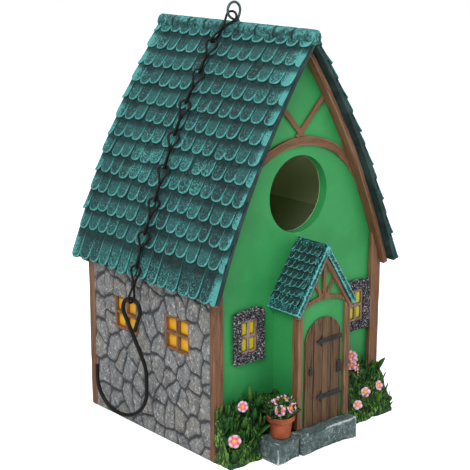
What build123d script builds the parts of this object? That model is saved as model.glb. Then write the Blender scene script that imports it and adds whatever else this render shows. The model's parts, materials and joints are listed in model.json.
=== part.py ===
"""Hanging cottage birdhouse: a storybook house with a tiled bowed roof, a porch, a chain and a hook.

Frame: +Z up, front wall facing -Y, stone wall with the hook at -X, origin on the underside at the
middle of the base. Millimetres.
"""
from build123d import *
import math
import os

os.makedirs("parts", exist_ok=True)

# --- driving dimensions -------------------------------------------------------------------------
WALL_W = 112.0            # across the outer faces of the two stone walls
WALL_Y = 47.5             # plaster faces stand at y = -WALL_Y and +WALL_Y
WALL_T = 5.0              # thickness of every wall
FLOOR_T = 4.0
POST_W = 6.5              # corner posts, seen from the front
POST_PROUD = 3.0          # corner posts stand this far in front of the plaster
POST_LAP = 0.6            # corner posts stand this far outside the stone walls
POST_REBATE = 2.0         # back posts reach this far round the end of the stone walls
RIDGE_Z = 202.7           # top of the ridge
EAVE_X = 62.8             # outer lower corner of the tiles
EAVE_Z = 82.3
ROOF_Y = 57.8             # the roof runs from -ROOF_Y to +ROOF_Y
ROOF_BOW = 5.5            # how far the curved slope rises above its chord
TILE_T = 1.8              # deepest tile layer
TILE_STEP = 1.1           # rise of a course over the one below
COURSES = 13
PANEL_T = 2.4             # roof panel below the tiles
BOARD_T = 2.8             # bargeboard depth below the panel
BOARD_Y = 6.0             # bargeboards stand this far in front of the plaster
RIDGE_R = 3.9             # ridge roll radius
RIDGE_SEGMENTS = 9
HOLE_R = 19.05            # 1 1/2 inch entrance hole
HOLE_Z = 123.0

PLUG_R = 12.0             # clean-out plug
PLUG_Y = 15.0
PLUG_TRAVEL_GAP = 1.0     # plug face above the base's underside
DRAIN_R = 2.5
DRAIN_PLACE = (40.0, 34.0)
PLUG_CLEARANCE = 0.15
PLUG_RECESS = 1.5

PORCH_W = 17.6            # half width over the porch posts
PORCH_SIDE = 15.6         # half width over the porch side walls
PORCH_Y = 65.4            # front face of the porch wall is at y = -PORCH_Y
PORCH_ROOF_Y = 68.9
PORCH_APEX_Z = 102.0
PORCH_EAVE_X = 20.5
PORCH_EAVE_Z = 70.5
PORCH_ROOF_T = 3.0
STEP_TOP = 11.0

WINDOW_Z = 58.2           # middle of the front windows
SURROUND = (18.0, 24.8)   # outer size of a stone window surround
SASH = (10.6, 16.8)
LEFT_WINDOW_X = -33.0
RIGHT_WINDOW_X = 40.6
SIDE_WINDOW = (19.0, 17.6)
SIDE_WINDOW_Y = (-23.3, 18.0)
SIDE_WINDOW_Z = 57.6
FRAME_W = 2.4
PANE_T = 1.2

CHAIN_WIRE = 1.2          # wire diameter of the chain
CHAIN_PITCH = 16.9
CHAIN_GAP = 0.4           # slack between two linked wires
CHAIN_LOOP_R = 2.6        # centreline radius of a link's loop
CHAIN_RISE = 2.9          # chain centreline above the tiles
LINKS = 9
HOOK_WIRE = 2.0
HOOK_TURN = 12.0          # the hook's plane is turned this far from the stone wall, in degrees
HOOK_EYE_R = 5.5
HOOK_BEND_R = 16.4
HOOK_BEND = (7.5, -45.7)  # middle of the bend, out from and below the top of the eye
HOOK_LEAN = 28.0          # the shank's lean below the eye, in degrees
HOOK_CORNER_R = 18.0
HOOK_EYE_END = (-1.9, -16.2)
HOOK_TIP_RISE = 6.5
LOOP_WIRE = 1.3
LOOP_R = 4.05             # hanging loop on the ridge
LOOP_CENTRE = (-1.7, -1.7, 208.0)
LOOP_FOOT = (0.6, -1.7, 202.4)


# --- helpers ------------------------------------------------------------------------------------
def block(x0, x1, y0, y1, z0, z1):
    """A box given by its limits."""
    return Pos((x0 + x1) / 2, (y0 + y1) / 2, (z0 + z1) / 2) * Box(x1 - x0, y1 - y0, z1 - z0)


def slab_xz(points, y0, y1):
    """A polygon drawn in X and Z, running from y0 to y1."""
    outline = Polyline(*[(x, y0, z) for x, z in points], close=True)
    return extrude(make_face(outline), amount=y1 - y0, dir=(0, 1, 0))


def slab_yz(points, x0, x1):
    """A polygon drawn in Y and Z, running from x0 to x1."""
    outline = Polyline(*[(x0, y, z) for y, z in points], close=True)
    return extrude(make_face(outline), amount=x1 - x0, dir=(1, 0, 0))


def rod_y(radius, x, z, y0, y1):
    """A cylinder along Y."""
    return Pos(x, (y0 + y1) / 2, z) * Rot(90, 0, 0) * Cylinder(radius, y1 - y0)


def mirrored(shape):
    """The same piece on the other side of the house."""
    return mirror(shape, about=Plane.YZ)


def save(name, *solids):
    """Write one node from one or more separate solids."""
    shape = solids[0] if len(solids) == 1 else Compound(children=list(solids))
    export_step(shape, f"parts/{name}.step")


# --- the bowed roof line ------------------------------------------------------------------------
CHORD = math.hypot(EAVE_X, RIDGE_Z - EAVE_Z)
BOW_R = (CHORD ** 2 / 4 + ROOF_BOW ** 2) / (2 * ROOF_BOW)
OUT_X = (RIDGE_Z - EAVE_Z) / CHORD
OUT_Z = EAVE_X / CHORD
BOW_X = EAVE_X / 2 - (BOW_R - ROOF_BOW) * OUT_X
BOW_Z = (RIDGE_Z + EAVE_Z) / 2 - (BOW_R - ROOF_BOW) * OUT_Z
RIDGE_ANGLE = math.atan2(RIDGE_Z - BOW_Z, -BOW_X)
EAVE_ANGLE = math.atan2(EAVE_Z - BOW_Z, EAVE_X - BOW_X)
SLOPE_LENGTH = BOW_R * (RIDGE_ANGLE - EAVE_ANGLE)


def roof_point(run, depth):
    """A point of the right slope: run mm down from the ridge, depth mm below the tiles."""
    angle = RIDGE_ANGLE - run / BOW_R
    radius = BOW_R - depth
    return BOW_X + radius * math.cos(angle), BOW_Z + radius * math.sin(angle)


def mitre_point(depth):
    """Where a layer at this depth meets the middle plane."""
    return 0.0, BOW_Z + math.sqrt((BOW_R - depth) ** 2 - BOW_X ** 2)


def roof_height(x, depth):
    """Height of a roof layer above a place x on either side."""
    return BOW_Z + math.sqrt((BOW_R - depth) ** 2 - (abs(x) - BOW_X) ** 2)


def roof_layer(depth0, depth1, y0, y1, overrun=0.0):
    """One bowed layer of the right slope between two depths."""
    middle = SLOPE_LENGTH / 2
    end = SLOPE_LENGTH + overrun

    def at(point):
        return point[0], y0, point[1]

    top = ThreePointArc(at(mitre_point(depth0)), at(roof_point(middle, depth0)), at(roof_point(end, depth0)))
    bottom = ThreePointArc(at(roof_point(end, depth1)), at(roof_point(middle, depth1)), at(mitre_point(depth1)))
    outline = top + Line(top @ 1, bottom @ 0) + bottom + Line(bottom @ 1, top @ 0)
    return extrude(make_face(outline), amount=y1 - y0, dir=(0, 1, 0))


def tile_courses():
    """The right slope's tiles as stepped courses on the panel."""
    exposure = SLOPE_LENGTH / COURSES
    points = []
    for course in range(COURSES):
        low = SLOPE_LENGTH - course * exposure
        points.append(roof_point(low, 0.0))
        points.append(roof_point(low - exposure, TILE_STEP))
    points.append(mitre_point(TILE_T))
    for course in range(COURSES):
        points.append(roof_point((course + 1) * exposure, TILE_T))
    return slab_xz(points, -ROOF_Y, ROOF_Y)


def below_roof(depth):
    """Everything inside the house below a roof layer, for trimming what stands under it."""
    right = [roof_point(SLOPE_LENGTH * step / COURSES, depth) for step in range(1, COURSES + 1)]
    foot = roof_point(SLOPE_LENGTH + 20.0, depth)
    left = [(-x, z) for x, z in reversed(right)]
    outline = [(foot[0], 0.0), (-foot[0], 0.0), (-foot[0], foot[1])] + left + [mitre_point(depth)] + right
    return slab_xz(outline + [foot], -ROOF_Y - 20.0, ROOF_Y + 20.0)


# --- roof ---------------------------------------------------------------------------------------
ridge_cut = rod_y(RIDGE_R, 0, RIDGE_Z - RIDGE_R, -ROOF_Y, ROOF_Y)
panel = roof_layer(TILE_T, TILE_T + PANEL_T, -ROOF_Y, ROOF_Y) - ridge_cut
tiles = tile_courses() - ridge_cut - roof_layer(TILE_T, TILE_T + PANEL_T, -ROOF_Y, ROOF_Y)
save("roof_panel_right", panel)
save("roof_panel_left", mirrored(panel))
save("roof_tiles_right", tiles)
save("roof_tiles_left", mirrored(tiles))


def ridge_cap():
    """A half-round ridge roll in segments, with a socket for the hanging loop's foot."""
    groove, groove_r = 0.6, RIDGE_R - 0.45
    segment = 2 * ROOF_Y / RIDGE_SEGMENTS
    cap = rod_y(groove_r, 0, RIDGE_Z - RIDGE_R, -ROOF_Y + groove, ROOF_Y - groove)
    for index in range(RIDGE_SEGMENTS):
        start = -ROOF_Y + index * segment
        inset0 = 0.0 if index == 0 else groove / 2
        inset1 = 0.0 if index == RIDGE_SEGMENTS - 1 else groove / 2
        cap += rod_y(RIDGE_R, 0, RIDGE_Z - RIDGE_R, start + inset0, start + segment - inset1)
    return cap


def teardrop_wire(radius, length, tip_half, wire):
    """A closed-end wire loop in local XY: bend round the origin, legs running to x = length."""
    reach = math.hypot(length, tip_half)
    angle = math.atan2(tip_half, length) + math.acos(radius / reach)
    upper = (radius * math.cos(angle), radius * math.sin(angle))
    lower = (upper[0], -upper[1])
    path = Line((length, tip_half), upper)
    path += ThreePointArc(upper, (-radius, 0), lower)
    path += Line(lower, (length, -tip_half))
    start = Plane(origin=(length, tip_half, 0), z_dir=(upper[0] - length, upper[1] - tip_half, 0))
    return sweep(start * Circle(wire / 2), path=path)


def placed(shape, origin, x_dir, z_dir):
    """A locally drawn shape set in the house's frame."""
    return Plane(origin=origin, x_dir=x_dir, z_dir=z_dir).location * shape


def hanging_loop():
    """A leaning wire eye whose twisted foot is set in the ridge."""
    lean = Vector(*LOOP_FOOT) - Vector(*LOOP_CENTRE)
    eye = placed(teardrop_wire(LOOP_R, lean.length, LOOP_WIRE / 2, LOOP_WIRE), LOOP_CENTRE, lean, (0, -1, 0))
    foot_length = 5.0
    foot = Pos(LOOP_FOOT[0], LOOP_FOOT[1], RIDGE_Z - foot_length / 2 + 0.9) * Cylinder(LOOP_WIRE, foot_length)
    return eye + foot


loop = hanging_loop()
save("hanging_loop", loop)
save("ridge_cap", ridge_cap() - loop)

# --- walls and floor ----------------------------------------------------------------------------
inside_w = WALL_W / 2 - WALL_T
under_panel = below_roof(TILE_T + PANEL_T)
entrance = rod_y(HOLE_R, 0, HOLE_Z, -WALL_Y - 1.0, -WALL_Y + WALL_T + 1.0)
front_wall = block(-inside_w, inside_w, -WALL_Y, -WALL_Y + WALL_T, 0, RIDGE_Z) & under_panel
save("front_wall", front_wall - entrance - ridge_cut)
back_wall = block(-inside_w, inside_w, WALL_Y - WALL_T, WALL_Y, 0, RIDGE_Z) & under_panel
save("back_wall", back_wall - ridge_cut)


def side_wall():
    """The right stone wall, with recesses for its two windows."""
    wall = block(inside_w, WALL_W / 2, -WALL_Y, WALL_Y - POST_REBATE, 0, RIDGE_Z) & under_panel
    for y in SIDE_WINDOW_Y:
        width, height = SIDE_WINDOW
        recess = Box(2 * FRAME_W, width, height)
        wall -= Pos(WALL_W / 2, y, SIDE_WINDOW_Z) * recess
    return wall


right_wall = side_wall()
save("right_wall", right_wall)
save("left_wall", mirrored(right_wall))

floor = block(-inside_w, inside_w, -WALL_Y + WALL_T, WALL_Y - WALL_T, 0, FLOOR_T)
floor -= Pos(0, PLUG_Y, FLOOR_T / 2) * Cylinder(PLUG_R, FLOOR_T)
for side in (-1, 1):
    for end in (-1, 1):
        floor -= Pos(side * DRAIN_PLACE[0], end * DRAIN_PLACE[1], FLOOR_T / 2) * Cylinder(DRAIN_R, FLOOR_T)
save("floor_panel", floor)


def clean_out_plug():
    """A tapered rubber plug with a recessed grip on its underside."""
    rim_w, grip_w = 4.0, 2.4
    body_h = FLOOR_T - PLUG_TRAVEL_GAP
    taper = Cone(PLUG_R - PLUG_CLEARANCE, PLUG_R - 2 * PLUG_CLEARANCE, body_h)
    plug = Pos(0, PLUG_Y, PLUG_TRAVEL_GAP + body_h / 2) * taper
    recess = Pos(0, PLUG_Y, PLUG_TRAVEL_GAP + PLUG_RECESS / 2)
    plug -= recess * Cylinder(PLUG_R - rim_w, PLUG_RECESS)
    plug += recess * Box(2 * (PLUG_R - rim_w) + 0.5, grip_w, PLUG_RECESS)
    return plug


save("clean_out_plug", clean_out_plug())

# --- bargeboards and corner posts ---------------------------------------------------------------
board_depth = TILE_T + PANEL_T
board = roof_layer(board_depth, board_depth + BOARD_T, -WALL_Y - BOARD_Y, -WALL_Y, overrun=1.6) - ridge_cut
board_back = roof_layer(board_depth, board_depth + BOARD_T, WALL_Y, WALL_Y + BOARD_Y, overrun=1.6) - ridge_cut
save("bargeboard_front_right", board)
save("bargeboard_front_left", mirrored(board))
save("bargeboard_back_right", board_back)
save("bargeboard_back_left", mirrored(board_back))

post_x = WALL_W / 2 + POST_LAP
post_front = block(post_x - POST_W, post_x, -WALL_Y - POST_PROUD, -WALL_Y, 0, RIDGE_Z) & under_panel
post_front -= board
save("corner_post_front_right", post_front)
save("corner_post_front_left", mirrored(post_front))
post_back = block(inside_w, post_x, WALL_Y - POST_REBATE, WALL_Y + POST_PROUD, 0, RIDGE_Z)
post_back += block(post_x - POST_W, post_x, WALL_Y, WALL_Y + POST_PROUD, 0, RIDGE_Z)
post_back = (post_back & under_panel) - board_back
save("corner_post_back_right", post_back)
save("corner_post_back_left", mirrored(post_back))


# --- timbers on the gable -----------------------------------------------------------------------
def bar_xz(start, end, width, y0, y1):
    """A straight timber between two places on a wall."""
    dx, dz = end[0] - start[0], end[1] - start[1]
    length = math.hypot(dx, dz)
    nx, nz = -dz / length * width / 2, dx / length * width / 2
    corners = [(start[0] + nx, start[1] + nz), (end[0] + nx, end[1] + nz),
               (end[0] - nx, end[1] - nz), (start[0] - nx, start[1] - nz)]
    return slab_xz(corners, y0, y1)


def arch_xz(radius, width, half_span, top_z, y0, y1):
    """A curved timber, highest in the middle."""
    centre_z = top_z - radius
    ring = rod_y(radius, 0, centre_z, y0, y1) - rod_y(radius - width, 0, centre_z, y0 - 1, y1 + 1)
    return ring & block(-half_span, half_span, y0, y1, centre_z, top_z + 1)


gable_y = (-WALL_Y - 1.4, -WALL_Y)
inside_boards = below_roof(board_depth + BOARD_T)
ARCH_R = 48.0
ARCH_TOP = 151.2
save("gable_arch", arch_xz(ARCH_R, 4.4, 36.5, ARCH_TOP, *gable_y) & inside_boards)
brace = bar_xz((-2.2, 150.9), (15.5, 169.6), 2.9, *gable_y) + bar_xz((2.2, 150.9), (-15.5, 169.6), 2.9, *gable_y)
save("gable_brace", (brace & inside_boards) - rod_y(ARCH_R, 0, ARCH_TOP - ARCH_R, *gable_y))

# --- porch --------------------------------------------------------------------------------------
PORCH_RISE = PORCH_APEX_Z - PORCH_EAVE_Z
PORCH_CHORD = math.hypot(PORCH_EAVE_X, PORCH_RISE)


def porch_point(run, depth):
    """A point of the porch's right slope."""
    x = run * PORCH_EAVE_X / PORCH_CHORD - depth * PORCH_RISE / PORCH_CHORD
    z = PORCH_APEX_Z - run * PORCH_RISE / PORCH_CHORD - depth * PORCH_EAVE_X / PORCH_CHORD
    return x, z


def porch_layer(depth0, depth1, y0, y1, overrun=0.0):
    """One straight layer of the porch's right slope."""
    drop = PORCH_CHORD / PORCH_EAVE_X
    end = PORCH_CHORD + overrun
    points = [(0, PORCH_APEX_Z - depth0 * drop), porch_point(end, depth0), porch_point(end, depth1),
              (0, PORCH_APEX_Z - depth1 * drop)]
    return slab_xz(points, y0, y1)


def below_porch(depth):
    """Everything below a layer of the porch roof."""
    peak = PORCH_APEX_Z - depth * PORCH_CHORD / PORCH_EAVE_X
    x, z = porch_point(PORCH_CHORD + 10.0, depth)
    return slab_xz([(0, peak), (x, z), (x, 0), (-x, 0), (-x, z)], -PORCH_ROOF_Y, -WALL_Y)


porch_roof = porch_layer(0, PORCH_ROOF_T, -PORCH_ROOF_Y, -WALL_Y)
save("porch_roof_right", porch_roof)
save("porch_roof_left", mirrored(porch_roof))
rafter = porch_layer(PORCH_ROOF_T, PORCH_ROOF_T + 2.0, -PORCH_Y - 2.4, -PORCH_Y, overrun=0.8)
save("porch_rafters", rafter, mirrored(rafter))

porch_post_w = 3.3
porch_wall_t = 3.0
porch_back = -PORCH_Y + porch_wall_t
under_porch = below_porch(PORCH_ROOF_T)
under_rafters = below_porch(PORCH_ROOF_T + 2.0)
post_in = PORCH_W - porch_post_w
porch_wall = block(-post_in, post_in, -PORCH_Y, porch_back, 0, PORCH_APEX_Z) & under_porch
save("porch_front_wall", porch_wall)
porch_side = block(PORCH_SIDE - porch_wall_t, PORCH_SIDE, porch_back, -WALL_Y, 0, PORCH_APEX_Z) & under_porch
save("porch_side_right", porch_side)
save("porch_side_left", mirrored(porch_side))
porch_post = block(post_in, PORCH_W, -PORCH_Y - 1.9, porch_back, STEP_TOP, PORCH_APEX_Z) & under_porch
porch_post -= rafter
save("porch_post_right", porch_post)
save("porch_post_left", mirrored(porch_post))


def porch_truss():
    """King post, two leaning struts and a curved tie beam, cast as one piece."""
    front, back = -PORCH_Y - 1.3, -PORCH_Y
    truss = arch_xz(34.0, 2.3, post_in, 76.4, front, back)
    truss += block(-1.0, 1.0, front, back, 75.0, PORCH_APEX_Z)
    for side in (-1, 1):
        truss += bar_xz((side * 1.6, 75.2), (side * 8.6, 88.0), 1.9, front, back)
    return truss & under_rafters


truss = porch_truss()
save("porch_truss", truss)

# --- door ---------------------------------------------------------------------------------------
DOOR_HALF = 12.2
DOOR_TOP = 65.2
DOOR_T = 1.0
PLANKS = (-DOOR_HALF, -6.4, -0.5, 5.3, DOOR_HALF)


def door_outline():
    """The round-headed door as one blank."""
    door = block(-DOOR_HALF, DOOR_HALF, -PORCH_Y - DOOR_T, -PORCH_Y, STEP_TOP, DOOR_TOP - DOOR_HALF)
    return door + rod_y(DOOR_HALF, 0, DOOR_TOP - DOOR_HALF, -PORCH_Y - DOOR_T, -PORCH_Y)


blank = door_outline()
plank_gap = 0.35
planks = []
for left, right in zip(PLANKS, PLANKS[1:]):
    planks.append(blank & block(left + plank_gap / 2, right - plank_gap / 2, -PORCH_Y - 2, -PORCH_Y, 0, 90))
save("door_planks", *planks)

STRAP_T = 0.8
strap_y = (-PORCH_Y - DOOR_T - STRAP_T, -PORCH_Y - DOOR_T)


def strap_hinge(z):
    """A strap fixed at the right of the door, ending in a pointed leaf."""
    strap = block(-1.0, 12.0, *strap_y, z - 1.1, z + 1.1)
    leaf = [(-5.2, z), (-2.0, z + 1.5), (-1.4, z + 3.2), (-0.8, z + 1.1), (-0.8, z - 1.1), (-1.4, z - 3.2), (-2.0, z - 1.5)]
    return strap + slab_xz(leaf, *strap_y)


save("strap_hinge_upper", strap_hinge(53.4))
save("strap_hinge_lower", strap_hinge(24.6))
latch = block(-9.6, -7.9, *strap_y, 37.4, 41.4)
plate = block(9.4, 12.0, *strap_y, 34.6, 40.8)
save("door_plates", latch, plate)

# --- front windows ------------------------------------------------------------------------------
SURROUND_T = 1.8


def sash(width, height, depth):
    """A four-light sash in local X and Z, its back at y = 0, with its panes left open."""
    bar, rim = 1.5, 1.2
    frame = Box(width, depth, height)
    light_w = (width - 2 * rim - bar) / 2
    light_h = (height - 2 * rim - bar) / 2
    for sx in (-1, 1):
        for sz in (-1, 1):
            x = sx * (bar + light_w) / 2
            z = sz * (bar + light_h) / 2
            frame -= Pos(x, 0, z) * Box(light_w, 2 * depth, light_h)
    return Pos(0, -depth / 2, 0) * frame


surrounds = []
sashes = []
panes = []
for centre in (LEFT_WINDOW_X, RIGHT_WINDOW_X):
    place = Pos(centre, -WALL_Y, WINDOW_Z)
    opening = Box(SASH[0], 3 * SURROUND_T, SASH[1])
    surrounds.append(place * (Pos(0, -SURROUND_T / 2, 0) * Box(SURROUND[0], SURROUND_T, SURROUND[1]) - opening))
    panes.append(place * Pos(0, -0.2, 0) * Box(SASH[0], 0.4, SASH[1]))
    sashes.append(place * Pos(0, -0.4, 0) * sash(SASH[0], SASH[1], 0.8))
save("window_surround_left", surrounds[0])
save("window_surround_right", surrounds[1])
save("front_window_sashes", *sashes)
save("front_window_panes", *panes)

# --- side windows -------------------------------------------------------------------------------
side_frames = []
side_panes = []
for y in SIDE_WINDOW_Y:
    face = Pos(WALL_W / 2 - FRAME_W, y, SIDE_WINDOW_Z) * Rot(0, 0, 90)
    side_panes.append(face * Pos(0, -PANE_T / 2, 0) * Box(SIDE_WINDOW[0], PANE_T, SIDE_WINDOW[1]))
    side_frames.append(face * Pos(0, -PANE_T, 0) * sash(SIDE_WINDOW[0], SIDE_WINDOW[1], 2.0))
save("side_window_frames_right", *side_frames)
save("side_window_panes_right", *side_panes)
save("side_window_frames_left", *[mirrored(frame) for frame in side_frames])
save("side_window_panes_left", *[mirrored(pane) for pane in side_panes])

# --- doorstep, pot and planting -----------------------------------------------------------------
STONE_FRONT = 73.5
save("doorstep_long", block(-20.2, 17.6, -STONE_FRONT, -PORCH_Y, 0, STEP_TOP))
save("doorstep_small", block(-35.5, -20.5, -STONE_FRONT + 0.5, -58.5, 0, STEP_TOP))

POT = (-27.2, -65.6)
POT_H = 11.0


def flower_pot():
    """A tapered pot with a rolled rim, open at the top."""
    rim_h, rim_r, foot_r, wall = 2.6, 6.9, 4.8, 1.0
    pot = Pos(0, 0, POT_H / 2) * Cone(foot_r, rim_r - 0.8, POT_H)
    pot += Pos(0, 0, POT_H - rim_h / 2) * Cylinder(rim_r, rim_h)
    pot -= Pos(0, 0, POT_H - 1.0) * Cylinder(rim_r - wall, 2.0)
    return Pos(POT[0], POT[1], STEP_TOP) * pot


save("flower_pot", flower_pot())
plant = Pos(POT[0], POT[1], STEP_TOP + POT_H - 1.0) * Cylinder(5.8, 2.0)
plant += Pos(POT[0], POT[1], STEP_TOP + POT_H + 2.0) * Cylinder(6.6, 4.0)
plant += Pos(POT[0], POT[1], STEP_TOP + POT_H + 4.0) * Cone(6.6, 3.6, 3.0, align=(Align.CENTER, Align.CENTER, Align.MIN))
save("pot_plant", plant)

bush_profile = [(-WALL_Y, 0), (-62.5, 0), (-61.5, 7), (-56.0, 16), (-51.5, 24), (-WALL_Y, 27)]
bush_left = slab_yz(bush_profile, -56.5, -PORCH_SIDE)
bush_left -= block(-36.0, 0, -90, -58.0, 0, 40)
bush_left -= block(-60, -post_x + POST_W, -WALL_Y - POST_PROUD, 0, 0, 40)
save("garden_left", bush_left)
bush_right = slab_yz(bush_profile, PORCH_SIDE, 56.5)
bush_right -= block(0, 18.0, -90, -PORCH_Y + porch_wall_t, 0, 40)
bush_right -= block(post_x - POST_W, 60, -WALL_Y - POST_PROUD, 0, 0, 40)
save("garden_right", bush_right)

# --- chain and hook -----------------------------------------------------------------------------
CHAIN_START = (-1.6, -2.1, 207.1)
CHAIN_FIRST = (-10.1, 3.9, 193.9)
DRIFTS = (-3.4, 0.0, -3.4, -5.4, -4.0, 0.7, -1.7)
HANG_LEAN = 14.0
ROLLS = (32.0, 45.0, 45.0, 45.0, 45.0, 45.0, 45.0, 45.0, 22.0)


def chain_joints():
    """The place of each link's upper bend, down the left slope and past the eave."""
    joints = [Vector(*CHAIN_START), Vector(*CHAIN_FIRST)]
    radius = BOW_R + CHAIN_RISE
    for drift in DRIFTS:
        here = joints[-1]
        angle = math.atan2(here.Z - BOW_Z, -here.X - BOW_X)
        chord = CHAIN_PITCH * math.cos(math.radians(drift))
        angle -= 2 * math.asin(chord / (2 * radius))
        y = here.Y + CHAIN_PITCH * math.sin(math.radians(drift))
        joints.append(Vector(-(BOW_X + radius * math.cos(angle)), y, BOW_Z + radius * math.sin(angle)))
    lean = math.radians(HANG_LEAN)
    last_pitch = CHAIN_PITCH - (HOOK_WIRE - CHAIN_WIRE) / 2
    joints.append(joints[-1] + Vector(-math.sin(lean), -0.03, -math.cos(lean)) * last_pitch)
    return joints


JOINTS = chain_joints()


def link_axes(index):
    """Long direction, upper-bend direction and lower-bend direction of a link."""
    along = (JOINTS[index + 1] - JOINTS[index]).normalized()
    away = Vector(0, 1, 0).cross(along)
    if away.X > 0:
        away = away * -1
    away = away.normalized()
    across = along.cross(away)
    roll = math.radians(ROLLS[index])
    if across.Y < 0:
        across = across * -1
    upper_bend = away * math.sin(roll) + across * math.cos(roll)
    lower_bend = away * math.cos(roll) - across * math.sin(roll)
    return along, upper_bend, lower_bend


def chain_link(index):
    """A figure-eight jack link: two wire loops a quarter turn apart, joined by a short twist."""
    along, upper_bend, lower_bend = link_axes(index)
    span = CHAIN_PITCH + CHAIN_WIRE + CHAIN_GAP
    half = span / 2 - CHAIN_LOOP_R
    loop_wire = teardrop_wire(CHAIN_LOOP_R, half, CHAIN_WIRE / 2, CHAIN_WIRE)
    start = JOINTS[index]
    upper_centre = start + along * CHAIN_LOOP_R
    lower_centre = start + along * (span - CHAIN_LOOP_R)
    upper = placed(loop_wire, upper_centre, along, along.cross(upper_bend))
    lower = placed(loop_wire, lower_centre, along * -1, along.cross(lower_bend))
    twist = placed(Cylinder(CHAIN_WIRE, 2.4), start + along * (span / 2), upper_bend, along)
    return upper + lower + twist


for number in range(LINKS):
    save(f"chain_link_{number + 1}", chain_link(number))


def hanging_hook():
    """One wire bent into a teardrop eye and a wide J."""
    eye = (0.0, -HOOK_EYE_R)
    bend = HOOK_BEND
    shank_lean = math.radians(HOOK_LEAN)
    leg_end = (eye[0] + HOOK_EYE_R * math.cos(shank_lean), eye[1] - HOOK_EYE_R * math.sin(shank_lean))
    shank_x = bend[0] - HOOK_BEND_R
    corner_z = leg_end[1] - (leg_end[0] - shank_x) / math.tan(shank_lean)
    turn = HOOK_CORNER_R * math.tan(shank_lean / 2)
    corner_in = (shank_x + turn * math.sin(shank_lean), corner_z + turn * math.cos(shank_lean))
    corner_out = (shank_x, corner_z - turn)
    turn_angle = math.pi + shank_lean / 2
    turn_centre = (shank_x + HOOK_CORNER_R, corner_z - turn)
    turn_mid = (turn_centre[0] + HOOK_CORNER_R * math.cos(turn_angle - shank_lean),
                turn_centre[1] - HOOK_CORNER_R * math.sin(turn_angle))
    free_end = HOOK_EYE_END
    reach = math.hypot(free_end[0] - eye[0], free_end[1] - eye[1])
    bearing = math.atan2(free_end[1] - eye[1], free_end[0] - eye[0]) - math.acos(HOOK_EYE_R / reach)
    leg_start = (eye[0] + HOOK_EYE_R * math.cos(bearing), eye[1] + HOOK_EYE_R * math.sin(bearing))
    path = Line(free_end, leg_start)
    path += ThreePointArc(leg_start, (0.0, 0.0), leg_end)
    path += Line(leg_end, corner_in)
    path += ThreePointArc(corner_in, turn_mid, corner_out)
    path += Line(corner_out, (shank_x, bend[1]))
    path += ThreePointArc((shank_x, bend[1]), (bend[0], bend[1] - HOOK_BEND_R), (bend[0] + HOOK_BEND_R, bend[1]))
    path += Line((bend[0] + HOOK_BEND_R, bend[1]), (bend[0] + HOOK_BEND_R, bend[1] + HOOK_TIP_RISE))
    towards = (leg_start[0] - free_end[0], leg_start[1] - free_end[1], 0)
    wire = sweep(Plane(origin=(*free_end, 0), z_dir=towards) * Circle(HOOK_WIRE / 2), path=path)
    turned = math.radians(HOOK_TURN)
    outward = Vector(-math.sin(turned), math.cos(turned), 0)
    return placed(wire, JOINTS[-1], outward, outward.cross(Vector(0, 0, 1)))


save("hanging_hook", hanging_hook())

print("slope", round(SLOPE_LENGTH, 2), "bow radius", round(BOW_R, 2))
for number, joint in enumerate(JOINTS):
    print("joint", number, [round(value, 3) for value in joint])
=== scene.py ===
"""Storybook cottage birdhouse: its looks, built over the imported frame.

Sizes in the classes are millimetres in the frame's axes: +Z up, front wall facing -Y and the
stone wall beside the hook at -X. Meshes are written in metres.
"""

import json
import logging
import math
import random
from dataclasses import dataclass, field
from enum import Enum
from functools import cache
from typing import Callable, Iterable, Sequence

import bmesh
import bpy
import numpy as np
from bpy.types import Material, NodeSocket, Object
from mathutils import Matrix, Vector

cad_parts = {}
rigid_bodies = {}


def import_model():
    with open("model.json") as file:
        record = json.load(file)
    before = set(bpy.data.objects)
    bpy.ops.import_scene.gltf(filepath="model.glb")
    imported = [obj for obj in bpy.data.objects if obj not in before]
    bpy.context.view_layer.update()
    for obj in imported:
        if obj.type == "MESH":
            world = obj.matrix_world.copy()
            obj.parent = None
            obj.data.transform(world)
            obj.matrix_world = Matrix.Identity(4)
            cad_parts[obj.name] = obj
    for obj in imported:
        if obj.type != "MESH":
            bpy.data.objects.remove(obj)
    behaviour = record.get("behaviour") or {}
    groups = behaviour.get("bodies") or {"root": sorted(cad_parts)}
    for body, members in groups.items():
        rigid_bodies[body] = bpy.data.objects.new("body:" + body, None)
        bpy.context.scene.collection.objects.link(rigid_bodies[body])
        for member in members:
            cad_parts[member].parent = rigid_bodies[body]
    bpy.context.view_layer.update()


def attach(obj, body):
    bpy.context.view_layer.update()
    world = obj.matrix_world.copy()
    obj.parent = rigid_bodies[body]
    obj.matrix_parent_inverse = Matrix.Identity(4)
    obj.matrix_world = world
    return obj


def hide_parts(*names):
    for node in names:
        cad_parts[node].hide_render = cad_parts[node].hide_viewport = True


LOG = logging.getLogger("birdhouse")
MM = 0.001
HOUSE = "house"
SIDES = {-1: "left", 1: "right"}
# Half the nest space across and deep, the weak gloss of the paints, and the colour inside the house.
INNER_X, INNER_Y = 51.2, 42.7
GLOSS = 0.28
# Inside colour: bare resin, made pale as painted light where little light reaches inside the house.
RESIN_AND_PAINTED_LIGHT = (0.800, 0.880, 0.520)
Colour = tuple[float, float, float]
Points = np.ndarray
GrainMap = Callable[[Points], Points]


# --- shader graphs --------------------------------------------------------------------------------
class Sums:
    """Short names for the commonest sums of a node tree."""

    def plus(self, first: object, second: object) -> NodeSocket:
        """Add two values."""
        return self.math("ADD", first, second)

    def times(self, first: object, second: object) -> NodeSocket:
        """Multiply two values."""
        return self.math("MULTIPLY", first, second)


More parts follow.
